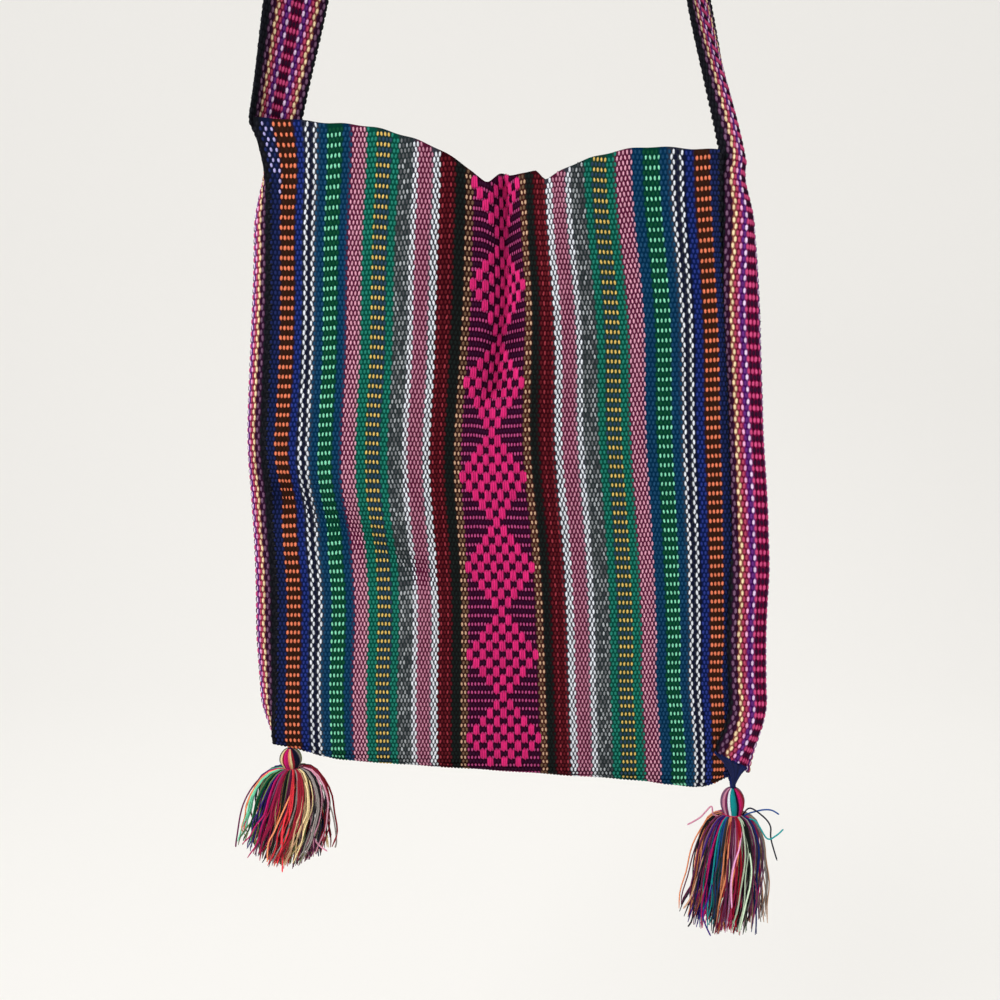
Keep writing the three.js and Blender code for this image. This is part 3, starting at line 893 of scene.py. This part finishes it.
brocade = {
    "everyPick": 2,
    "firstWidest": 34,  # pick of a row with most floats
    "widest": 6,
    "repeat": 10,  # rows from one widest row to the next
    "spacing": 8,  # warp ends between floats of one row
    "plies": 3,
    "plySpread": 0.00118,
    "raised": 0.0003,
    "fan": 0.03,
    "margin": 0.008,
    "mapSpread": 5,  # the column is spread this much on its colour map
    "mapStep": 0.025,
    "halfWidth": 0.00084,
    "halfLength": 0.0044,
    "height": 0.0012,
    "unevenness": 0.14,
    # paler: a painted highlight on the tops of the brocade floats
    "paintedHighlight": 0.02,
}


def brocadeFloats(name, low, high):
    spots = []
    repeat, manyPlies = brocade["repeat"], brocade["plies"]
    for pick in range(0, weavePlan["picks"], brocade["everyPick"]):
        turn = (pick - brocade["firstWidest"]) // brocade["everyPick"] % repeat
        count = brocade["widest"] - min(turn, repeat - turn)
        for k in range(count):
            spots.append((endCount / 2 + (k - (count - 1) / 2) * brocade["spacing"], pick))
    spots = np.array(spots, float)
    share = rowShare(-0.5 + spots[:, 0] / endCount, spots[:, 1])
    spots = spots[(share > low) & (share < high)]
    plies = np.tile(np.arange(manyPlies) - (manyPlies - 1) / 2, len(spots))
    spots = np.repeat(spots, manyPlies, axis=0)
    u = -0.5 + spots[:, 0] / endCount
    points, along, outward = clothFrame(u, rowShare(u, spots[:, 1]))
    across = np.cross(outward, along)
    slack = np.repeat(0.86 + 0.22 * chance.random(len(spots) // manyPlies), manyPlies)
    points = points + outward * (weavePlan["ground"] / 2 + brocade["raised"])
    points = points - across * (plies * slack * brocade["plySpread"])[:, None]
    tilt = brocade["fan"] * across * chance.normal(size=(len(plies), 1))
    fan = brocade["fan"] * across * plies[:, None] * chance.random((len(plies), 1))
    along = unit(along + tilt - fan)
    colour = unevenTone(np.tile(linearColour("hotPink"), (len(plies), 1)), 0.85, 0.3)
    girth = np.ones((len(plies), 3))
    girth[:, 2] = np.where(plies == 0, 1.0, 0.86)
    girth[:, 1] = np.where(plies == 0, 0.98, 0.84) + 0.1 * chance.random(len(plies))
    first, rows = spots[:, 1].min() - 1, np.ptp(spots[:, 1]) + 2
    flatU = (spots[:, 0] / endCount - 0.5) * brocade["mapSpread"] + 0.5 + plies * brocade["mapStep"]
    flat = np.stack([flatU, 1 - (spots[:, 1] - first) / rows], axis=1)
    # the brocade floats' rims fade to the hot pink gap tone, weft colour with painted shade
    gapWeftAndShade, step = np.tile(linear(gapWeftAndShadeTones["hotPink"]), (len(plies), 1)), (brocade["mapStep"], 2 / rows)
    return setFloats(name, points, along, outward, colour, gapWeftAndShade, girth, brocade, brocadeFinish, flat, step, "brocade")


frontBrocade = brocadeFloats("frontBrocade", brocade["margin"], 1 - brocade["margin"])
backBrocade = brocadeFloats("backBrocade", 1 + foldShare + brocade["margin"], clothLength - brocade["margin"])
print("brocade floats", len(frontBrocade.data.polygons) + len(backBrocade.data.polygons), "faces")

# the strap's weave
strapPlan = {
    "pick": 0.0036,
    "ground": 0.0012,
    "groundGrid": (36, 520),  # columns and rows
    "mapLanes": 10,  # the long band is folded into columns on its colour map
    "halfWidth": 0.00096,
    "halfLength": 0.0021,
    "height": 0.0007,
    "unevenness": 0.12,
    # paler: a painted highlight on the tops of the strap floats
    "paintedHighlight": 0.1,
    "edgeToMiddle": [
        (4, "black"), (2, "mauve"), (1, "purpleBlack"), (2, "cream"), (2, "crimson"), (1, "pinkWhite"),
        (2, "purple"), (1, "lavenderWhite"),
    ],
    "ladder": ["magenta", "purpleBlack", "magenta", "purpleBlack", "magenta", "purpleBlack", "magenta"],
    "edgeTurn": {
        # paler: a painted highlight on the knuckles too
        "halfWidth": 0.0011, "halfLength": 0.0021, "height": 0.001, "unevenness": 0.15, "paintedHighlight": 0.1, "sunk": 0.0004,
    },
}
strapHalf = [name for count, name in strapPlan["edgeToMiddle"] for k in range(count)]
strapEnds = strapHalf + strapPlan["ladder"] + strapHalf[::-1]
strapPicks = int(strapLength / strapPlan["pick"])

columns, rows = strapPlan["groundGrid"]
columnW, rowRun = np.linspace(0, 1, columns), np.linspace(0, strapLength, rows)
gridW, gridRun = np.meshgrid(columnW, rowRun)
bandPoints, _, bandOut = strapFrame(gridW, gridRun)
endOfColumn = np.clip((columnW * len(strapEnds)).astype(int), 0, len(strapEnds) - 1)
# the strap's ground sheet takes the gap tones too, weft colour with painted shade
bandWeftAndShade = np.tile(endGapWeftAndShade(strapEnds)[endOfColumn], (len(rowRun), 1, 1))
strapBand = thinSheet("strapBand", bandPoints, bandOut, strapPlan["ground"], bandWeftAndShade, strapGroundFinish, 1.0)


def strapFloats(name, face):
    pick, end = np.meshgrid(np.arange(strapPicks), np.arange(len(strapEnds)), indexing="ij")
    shown = (pick + end) % 2 == (0 if face > 0 else 1)
    pick, end = pick[shown], end[shown]
    w, run = (end + 0.5) / len(strapEnds), (pick + 0.5) * strapLength / strapPicks
    points, along, outward = strapFrame(w, run)
    outward = outward * face
    points = points + outward * (strapPlan["ground"] / 2 - sunk)
    colour = unevenTone(endColours(strapEnds)[end], 0.86, 0.28)
    along = unevenTurn(along, outward, 0.06)
    girth, lanes = np.ones((len(end), 3)), strapPlan["mapLanes"]
    lane = np.floor(run / strapLength * lanes)
    flat = np.stack([(lane + w) / lanes, (run / strapLength * lanes) % 1], axis=1)
    # the strap floats' rims fade to the gap tones, weft colour with painted shade
    gapWeftAndShade, step = endGapWeftAndShade(strapEnds)[end], (2 / len(strapEnds) / lanes, lanes / strapPicks)
    return setFloats(name, points, along, outward, colour, gapWeftAndShade, girth, strapPlan, strapFinish, flat, step)


def strapTurns(name):
    # the weft turns back at each edge and shows as a row of small knuckles
    sizes = strapPlan["edgeTurn"]
    run = np.repeat((np.arange(strapPicks) + 0.5) * strapLength / strapPicks, 2)
    edge = np.tile([0.0, 1.0], strapPicks)
    points, along, _ = strapFrame(edge, run)
    across = unit(points - strapPoint(np.abs(edge - 0.04), run))
    points = points - across * sizes["sunk"]
    colour = unevenTone(np.tile(linearColour("black"), (len(run), 1)), 0.8, 0.4)
    girth = np.ones((len(run), 3))
    flat = np.stack([0.25 + 0.5 * edge, run / strapLength], axis=1)
    step = (0.4, 1 / strapPicks)
    # the knuckles' rims darken to 0.4 of their colour, painted shade
    return setFloats(name, points, along, across, colour, colour * 0.4, girth, sizes, strapFinish, flat, step)


strapOuterWeave = strapFloats("strapOuterWeave", 1)
strapInnerWeave = strapFloats("strapInnerWeave", -1)
strapEdgeTurns = strapTurns("strapEdgeTurns")
print("strap floats", len(strapOuterWeave.data.polygons) + len(strapInnerWeave.data.polygons), "faces")

# sewing along the four long seams
seamPlan = {
    "pitch": 0.0046,
    "thread": 0.00036,
    "colour": "black",
    "bite": 0.489,  # where a stitch leaves the panel, in widths from its middle
    "slant": 0.0009,  # a stitch starts this much higher and ends this much lower
    "lean": 0.7,  # how far the thread's arch leans to the side
    "overPanel": 0.0012,
    "overEdge": 0.0015,
    "overStrap": 0.0004,
    "ontoStrap": (0.0018, 0.0014),  # sideways, and inwards from the panel's face
    "runs": {  # side, on the front, first and last share of the height
        "left_front_seam": (-1, True, 0.1, 0.962), "left_back_seam": (-1, False, 0.008, 0.962),
        "right_front_seam": (1, True, 0.008, 0.57), "right_back_seam": (1, False, 0.008, 0.72),
    },
}


def whipStitches(name, side, isFront, first, last):
    count = int((last - first) * bag["panelHeight"] / seamPlan["pitch"])
    v = np.linspace(first, last, count)
    strapEdge = gussetEdges(side, v)[0 if isFront else 1]
    panelPoint = frontPoint if isFront else backPoint
    panelEdge = panelPoint(np.full_like(v, side / 2), v)
    panelIn = panelPoint(np.full_like(v, side * seamPlan["bite"]), v)
    middle = panelEdge * 0.5 + strapEdge * 0.5
    facing = np.array([0, -1 if isFront else 1, 0])
    lift = unit(facing + np.array([side * seamPlan["lean"], 0, 0]))
    slant = np.array([0, 0, seamPlan["slant"]])
    aside, behind = seamPlan["ontoStrap"]
    ontoStrap = np.array([side * aside, -facing[1] * behind, 0]) - slant + lift * seamPlan["overStrap"]
    t = np.linspace(0, 1, 6)[:, None]
    strands = []
    for k in range(count):
        a = panelIn[k] + facing * seamPlan["overPanel"] + slant
        b = middle[k] + lift * seamPlan["overEdge"]
        c = strapEdge[k] + ontoStrap
        line = (1 - t) ** 2 * a + 2 * t * (1 - t) * (2 * b - (a + c) / 2) + t ** 2 * c
        strands.append((line, seamPlan["thread"], linearColour(seamPlan["colour"], 1.3)))
    strands.append((middle, seamPlan["thread"], linearColour(seamPlan["colour"])))
    return makeYarns(name, strands, threadFinish)


seams = {}
for node, run in seamPlan["runs"].items():
    words = node.split("_")
    seams[node] = whipStitches(words[0] + words[1].capitalize() + "Stitches", *run)
print("stitches", len(seams), "seams")

# tassels: what both share, then each with its own measures
tasselPlan = {
    "perLock": 8, "yarn": 0.00058, "headYarns": 64,
    "bindingTurns": 5, "bindingHalf": 0.0016, "bindingThread": 0.0006, "bindingProud": 0.0003,
    "tieCords": 5, "tieTwist": 4, "hemThreads": 15, "drawnTo": 11,  # the hem thread that the others are drawn to
}
tassels = {
    "left": {
        "headRadius": 0.0066, "headHeight": 0.0135, "neckShare": 0.62, "headLift": 0.0035,
        "skirtLength": 0.064, "halfWidth": 0.0275, "halfDepth": 0.017, "arch": 0.34, "shorten": 0.5,
        "sway": -0.003, "twist": 0.8, "tieRadius": 0.0013, "tieSpread": 0.0012, "hemShare": None, "seed": 21,
        "locks": [
            "maroon", "peach", "mint", "olive", "darkGreen", "blue", "violet", "magenta", "mauve", "crimson",
            "tan", "blackGreen", "olive", "plum", "orange", "coral", "charcoal", "grey", "maroon", "beige",
            "red", "cream", "olive", "grey", "plum", "dustyPink", "charcoal", "maroon", "navy",
        ],
        "headLocks": [
            "charcoal", "olive", "cream", "maroon", "magenta", "magenta", "peach", "cream", "maroon", "inkBlue",
            "inkBlue", "charcoal", "grey", "olive",
        ],
        "strays": [  # loose yarns: colour, how far in front, and places beside and above the neck, in metres
            ("plum", 0.004, [(-0.006, 0.001), (-0.02, -0.006), (-0.03, -0.022), (-0.0345, -0.043), (-0.0355, -0.05)]),
            ("grey", 0.005, [(0.006, 0.001), (0.019, -0.009), (0.026, -0.026), (0.0285, -0.044), (0.0275, -0.05)]),
            ("cream", 0.017,
             [(0.007, -0.002), (0.0125, -0.009), (0.0125, -0.022), (0.0065, -0.036), (0.0045, -0.052)]),
            ("peach", 0.0185,
             [(0.006, -0.004), (0.0, -0.016), (-0.0075, -0.033), (-0.0115, -0.041), (-0.0125, -0.053)]),
            ("coral", 0.018,
             [(0.0065, -0.004), (0.0005, -0.02), (-0.0028, -0.034), (-0.003, -0.05), (-0.0035, -0.06)]),
            ("dustyPink", 0.0165, [(0.0125, -0.022), (0.0145, -0.034), (0.0185, -0.042), (0.0245, -0.047)]),
        ],
    },
    "right": {
        "headRadius": 0.0072, "headHeight": 0.018, "neckShare": 0.76, "headLift": 0.0,
        "skirtLength": 0.0755, "halfWidth": 0.0232, "halfDepth": 0.017, "arch": 0.3, "shorten": 0.2,
        "sway": -0.004, "twist": 0.2, "tieRadius": 0.0017, "tieSpread": 0.0042, "hemShare": (0.08, 0.56), "seed": 34,
        "locks": [
            "black", "peach", "plum", "mauve", "violet", "magenta", "teal", "blue", "charcoal", "peach", "maroon",
            "plum", "pinkWhite", "crimson", "red", "crimson", "paleMint", "blackGreen", "plum", "grey", "navy",
            "violet", "magenta", "mauve", "tan", "grey",
        ],
        "headLocks": [
            "mauve", "rose", "plum", "white", "teal", "teal", "inkBlue", "magenta", "crimson", "maroon",
            "grey", "mauve",
        ],
        "strays": [
            ("rose", 0.004,
             [(-0.007, -0.001), (-0.0126, 0.0018), (-0.0142, 0.0072), (-0.0209, 0.0), (-0.0291, -0.005)]),
            ("blue", 0.0055,
             [(0.005, -0.001), (0.0104, 0.0032), (0.0169, 0.0054), (0.0234, 0.0054), (0.0284, 0.0025)]),
            ("inkBlue", 0.007,
             [(0.005, -0.001), (0.0097, 0.0068), (0.0176, 0.0022), (0.0227, -0.0043),
              (0.0234, -0.013), (0.0277, -0.0273)]),
            ("teal", 0.0085,
             [(0.005, -0.002), (0.013, -0.001), (0.0205, -0.012), (0.0263, -0.01), (0.0306, -0.0058)]),
            ("tan", 0.01,
             [(-0.009, -0.004), (-0.0183, -0.02), (-0.022, -0.0345), (-0.027, -0.0504), (-0.0313, -0.0576)]),
            ("black", 0.0115,
             [(-0.009, -0.003), (-0.0165, -0.016), (-0.0235, -0.04), (-0.0255, -0.062), (-0.0285, -0.069)]),
            ("pinkWhite", 0.0185,
             [(0.0061, -0.002), (0.0022, -0.012), (-0.0014, -0.022), (-0.0034, -0.036), (-0.0027, -0.053)]),
            ("violet", 0.019,
             [(-0.011, -0.034), (-0.0155, -0.043), (-0.0205, -0.055), (-0.0195, -0.062), (-0.0155, -0.071)]),
            ("paleMint", 0.019,
             [(0.005, -0.003), (0.0085, -0.02), (0.0085, -0.036), (0.0055, -0.052), (0.0025, -0.068)]),
        ],
    },
}


def lockColour(names, angle):
    # the list runs from left to right over the front and back again behind
    share = (angle / math.pi) % 2
    share = share if share <= 1 else 2 - share
    return names[min(int(share * len(names)), len(names) - 1)]


def skirtStrand(plan, neck, angle, spread, cut, luck):
    # out from under the binding in an arch, then down and still a little outwards to a cut end
    reach = math.hypot(plan["halfWidth"] * math.cos(angle), plan["halfDepth"] * math.sin(angle))
    start = 0.5 * plan["headRadius"]
    out = max(spread * reach - start, 0)
    drop = plan["skirtLength"] * (cut - 0.05 * luck.random()) - plan["shorten"] * out
    bend = plan["arch"] * plan["skirtLength"] * (0.4 + 0.6 * spread)
    t = np.linspace(0, 1, 16)
    heading = angle + plan["twist"] * (0.45 - t)  # the skirt is swept round as it falls
    direction = np.stack([-np.cos(heading), -np.sin(heading), 0 * t], axis=1)
    turn = np.clip(t / 0.42, 0, 1) * math.pi / 2
    far = start + out * (0.8 * np.sin(turn) + 0.2 * t)
    low = bend * (1 - np.cos(turn)) + (drop - bend) * np.clip((t - 0.42) / 0.58, 0, 1)
    low = low - 0.0022 * spread * np.sin(math.pi * np.clip(t / 0.3, 0, 1))
    line = neck + direction * far[:, None] + np.array([0, 0, -1]) * low[:, None]
    wave, phase = 0.0012 + 0.0016 * luck.random(), luck.random(4) * 6.28
    line[:, 0] += plan["sway"] * t ** 2 + wave * t * (np.sin(5 * t + phase[0]) + 0.4 * np.sin(15 * t + phase[1]))
    line[:, 1] += 0.7 * wave * t * (np.sin(6 * t + phase[2]) + 0.4 * np.sin(17 * t + phase[3]))
    return line


def skirtYarns(plan, neck, luck):
    strands = []
    lockCount = 2 * len(plan["locks"])
    for lock in range(lockCount):
        angle = (lock + 0.5 + 0.3 * luck.normal()) / lockCount * 2 * math.pi
        cut = 1.0 - 0.1 * luck.random() ** 2
        lean = luck.normal(size=2) * np.array([0.003, 0.0022])
        for k in range(tasselPlan["perLock"]):
            spread = np.clip(1 - 0.82 * (k / tasselPlan["perLock"]) + 0.1 * luck.normal(), 0.14, 1.03)
            own = angle + 0.05 * luck.normal()
            line = skirtStrand(plan, neck, own, spread, cut, luck)
            fall = np.linspace(0, 1, len(line))[:, None]
            line[:, :2] += lean * fall ** 1.6
            shown = own if luck.random() < 0.8 else own + 0.5 * luck.normal()
            taper = np.append(np.linspace(1, 0.8, len(line) - 1), 0.4)
            radius = tasselPlan["yarn"] * (0.85 + 0.3 * luck.random()) * taper
            colour = linearColour(lockColour(plan["locks"], shown), 0.6 + 0.5 * luck.random())
            strands.append((line, radius, colour))
    return strands


def smoothLine(corners, depth):
    # a rounded line through a few places beside and above the neck
    corners = np.array(corners)
    t = np.linspace(0, len(corners) - 1, 5 * len(corners))
    near = np.clip(t.astype(int), 0, len(corners) - 2)
    padded = np.concatenate([corners[:1], corners, corners[-1:]])
    f = (t - near)[:, None]
    a, b, c, d = (padded[near + k] for k in range(4))
    flat = b + 0.5 * f * (c - a + f * (2 * a - 5 * b + 4 * c - d + f * (3 * (b - c) + d - a)))
    return np.stack([flat[:, 0], -depth * (0.4 + 0.6 * ease(t, 0, 1.6)), flat[:, 1]], axis=1)


def headYarns(plan, headTop, luck):
    # the same yarns laid over a knot and bound below it
    strands = []
    count = tasselPlan["headYarns"]
    for k in range(count):
        angle = (k + 0.35 * luck.normal()) / count * 2 * math.pi
        t = np.linspace(0.02, 1, 13)
        dome = np.sqrt(1 - (1 - np.minimum(t / 0.52, 1)) ** 2)
        shape = dome - (1 - plan["neckShare"]) * ease(t, 0.55, 1)
        bulge = plan["headRadius"] * shape * (0.95 + 0.06 * luck.random())
        twist = angle + 0.3 * t
        line = headTop + np.stack([-np.cos(twist) * bulge, -np.sin(twist) * bulge, -plan["headHeight"] * t], axis=1)
        colour = linearColour(lockColour(plan["headLocks"], angle), 0.55 + 0.5 * luck.random())
        strands.append((line, plan["headRadius"] * (0.065 + 0.025 * luck.random()), colour))
    return strands


def windBinding(plan, neck):
    turns = np.linspace(0, tasselPlan["bindingTurns"] * 2 * math.pi, 90)
    half = tasselPlan["bindingHalf"]
    radius = plan["neckShare"] * plan["headRadius"] + tasselPlan["bindingProud"]
    height = half - 2 * half * turns / turns[-1]
    wind = neck + np.stack([radius * np.cos(turns), radius * np.sin(turns), height], axis=1)
    core = neck + np.array([[0, 0, half], [0, 0, 0], [0, 0, -half]])
    return [(wind, tasselPlan["bindingThread"], linearColour("crimson")), (core, radius, linearColour("plum"))]


def gatherTie(plan, axisX, low, high, luck):
    # the tie gathers from the hem into a cord
    cords = []
    t = np.linspace(0, 1, 14)
    for k in range(tasselPlan["tieCords"]):
        angle = tasselPlan["tieTwist"] * t + k * 2 * math.pi / tasselPlan["tieCords"]
        swing = mix(0.5 * plan["tieRadius"], plan["tieSpread"], (1 - t) ** 1.5)
        z = mix(high + plan["tieSpread"], low - 0.0015, t)
        line = np.stack([axisX + swing * np.cos(angle), 0.6 * swing * np.sin(angle), z], axis=1)
        cords.append((line, plan["tieRadius"] * 0.5, linearColour("navy")))
    if plan["hemShare"]:
        # threads from all along the strap's hem, drawn together
        count = tasselPlan["hemThreads"]
        hem, _, hemOut = strapFrame(np.linspace(*plan["hemShare"], count), np.full(count, strapLength - 0.0012))
        end = np.array([axisX, -0.3 * plan["tieRadius"], low - 0.001])
        gathered = mix(hem[tasselPlan["drawnTo"]], end, 0.3)
        for k in range(count):
            start = hem[k] + 0.0014 * hemOut[k] + np.array([0, 0, 0.0004])
            knee = mix(start, gathered, 0.85)
            line = (1 - t[:, None]) ** 2 * start + 2 * (t * (1 - t))[:, None] * knee + (t ** 2)[:, None] * end
            colour = linearColour("navy", 0.35 + 0.6 * luck.random())
            cords.append((line, plan["tieRadius"] * mix(0.5, 0.42, t), colour))
    return cords


def makeTassel(side):
    plan = tassels[side]
    luck = np.random.default_rng(plan["seed"])
    tieLow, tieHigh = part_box(side + "_tassel_tie")
    axisX = (tieLow[0] + tieHigh[0]) / 2
    headTop = np.array([axisX, 0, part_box(side + "_tassel_yarn")[1][2] + plan["headLift"]])
    neck = headTop - np.array([0, 0, plan["headHeight"]])
    strands = skirtYarns(plan, neck, luck) + headYarns(plan, headTop, luck)
    for name, depth, corners in plan["strays"]:
        line = neck + smoothLine(corners, depth)
        radius = np.append(np.full(len(line) - 1, 0.9 * tasselPlan["yarn"]), 0.3 * tasselPlan["yarn"])
        strands.append((line, radius, linearColour(name)))
    yarn = makeYarns(side + "TasselYarn", strands, tasselFinish)
    binding = makeYarns(side + "TasselBinding", windBinding(plan, neck), bindingFinish, 8)
    tie = makeYarns(side + "TasselTie", gatherTie(plan, axisX, tieLow[2], tieHigh[2], luck), tieFinish, 8)
    return yarn, binding, tie


parts = {side: makeTassel(side) for side in ("left", "right")}
print("tassels", sum(len(p.data.polygons) for three in parts.values() for p in three), "faces")
for shape in floatObjects.values():
    bpy.data.objects.remove(shape)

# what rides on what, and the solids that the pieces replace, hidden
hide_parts("body_cloth")
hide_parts("strap_band")
for piece in (bodyCloth, frontWeave, backWeave, frontBrocade, backBrocade):
    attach(piece, "bag")
for piece in (strapBand, strapOuterWeave, strapInnerWeave, strapEdgeTurns):
    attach(piece, "bag")
for node, piece in seams.items():
    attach(piece, "bag")
    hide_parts(node)
for side, (yarn, binding, tie) in parts.items():
    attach(yarn, side + "_tassel")
    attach(binding, side + "_tassel")
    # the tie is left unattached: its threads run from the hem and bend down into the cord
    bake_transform(tie)
    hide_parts(side + "_tassel_yarn")
    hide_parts(side + "_tassel_binding")
    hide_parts(side + "_tassel_tie")

# pale sweep and soft light
studio = {
    "floor": -1.3,
    "wall": 2.3,
    "bend": 0.9,
    "bendSteps": 12,
    "near": -3.5,
    "top": 2.5,
    "halfWidth": 4.5,
    "paper": (0.87, 0.86, 0.83),
    "world": (0.91, 0.89, 0.855),
    "evenness": 0.7,  # how much of the sweep is seen at its own colour, without shade
    "glow": (1, 0.99, 0.97),
    "ambient": 0.45,
    "lamps": [  # place, aim, size, watts
        ((-1.1, -1.3, 0.5), (0, 0, -0.7), 1.1, 42),
        ((1.3, -1.2, -0.4), (0, 0, -0.75), 1.4, 8),
        ((0.2, 1.3, 0.5), (0, 0, -0.7), 1.4, 18),
    ],
}


def paleSweep():
    floor, wall, bend, steps = studio["floor"], studio["wall"], studio["bend"], studio["bendSteps"]
    profile = [(studio["near"], floor), (wall - bend, floor)]
    for k in range(1, steps + 1):
        a = k / steps * math.pi / 2
        profile.append((wall - bend * (1 - math.sin(a)), floor + bend * (1 - math.cos(a))))
    profile.append((wall, studio["top"]))
    points = [(x, y, z) for y, z in profile for x in (-studio["halfWidth"], studio["halfWidth"])]
    faces = [(2 * k, 2 * k + 1, 2 * k + 3, 2 * k + 2) for k in range(len(profile) - 1)]
    mesh = plainMesh("paleSweep", points, faces)
    mesh.shade_smooth()
    paper = bpy.data.materials.new("sweepPaper")
    paper.use_nodes = True
    tree = paper.node_tree
    shader = tree.nodes["Principled BSDF"]
    setInputs(shader, {"Roughness": 0.9, "Specular IOR Level": 0.1, "Base Color": (*studio["paper"], 1)})
    even = addNode(tree, "ShaderNodeEmission", {"Color": (*studio["world"], 1)})
    seen = addNode(tree, "ShaderNodeLightPath")
    share = addNode(tree, "ShaderNodeMath", {1: studio["evenness"]}, operation="MULTIPLY")
    both = addNode(tree, "ShaderNodeMixShader")
    join(
        tree,
        (seen.outputs["Is Camera Ray"], share.inputs[0]),
        (share.outputs["Value"], both.inputs["Fac"]),
        (shader.outputs["BSDF"], both.inputs[1]),
        (even.outputs["Emission"], both.inputs[2]),
        (both.outputs["Shader"], tree.nodes["Material Output"].inputs["Surface"]),
    )
    mesh.materials.append(paper)
    sweep = place("paleSweep", mesh)


paleSweep()
for k, (spot, aim, size, watts) in enumerate(studio["lamps"]):
    light = bpy.data.lights.new(f"softLamp{k}", "AREA")
    light.size, light.energy = size, watts
    lamp = bpy.data.objects.new(f"softLamp{k}", light)
    lamp.location = spot
    away = np.array(aim) - np.array(spot)
    tilt = math.atan2(math.hypot(away[0], away[1]), -away[2])
    lamp.rotation_euler = (tilt, 0, math.atan2(away[1], away[0]) - math.pi / 2)
    scene.collection.objects.link(lamp)

world = bpy.data.worlds.new("studioAir")
scene.world = world
world.use_nodes = True
air = world.node_tree
seen = addNode(air, "ShaderNodeBackground", {"Color": (*studio["world"], 1)})
glow = air.nodes["Background"]
setInputs(glow, {"Color": (*studio["glow"], 1), "Strength": studio["ambient"]})
path = addNode(air, "ShaderNodeLightPath")
either = addNode(air, "ShaderNodeMixShader")
join(
    air,
    (path.outputs["Is Camera Ray"], either.inputs["Fac"]),
    (glow.outputs["Background"], either.inputs[1]),
    (seen.outputs["Background"], either.inputs[2]),
    (either.outputs["Shader"], air.nodes["World Output"].inputs["Surface"]),
)
print("studio lit")
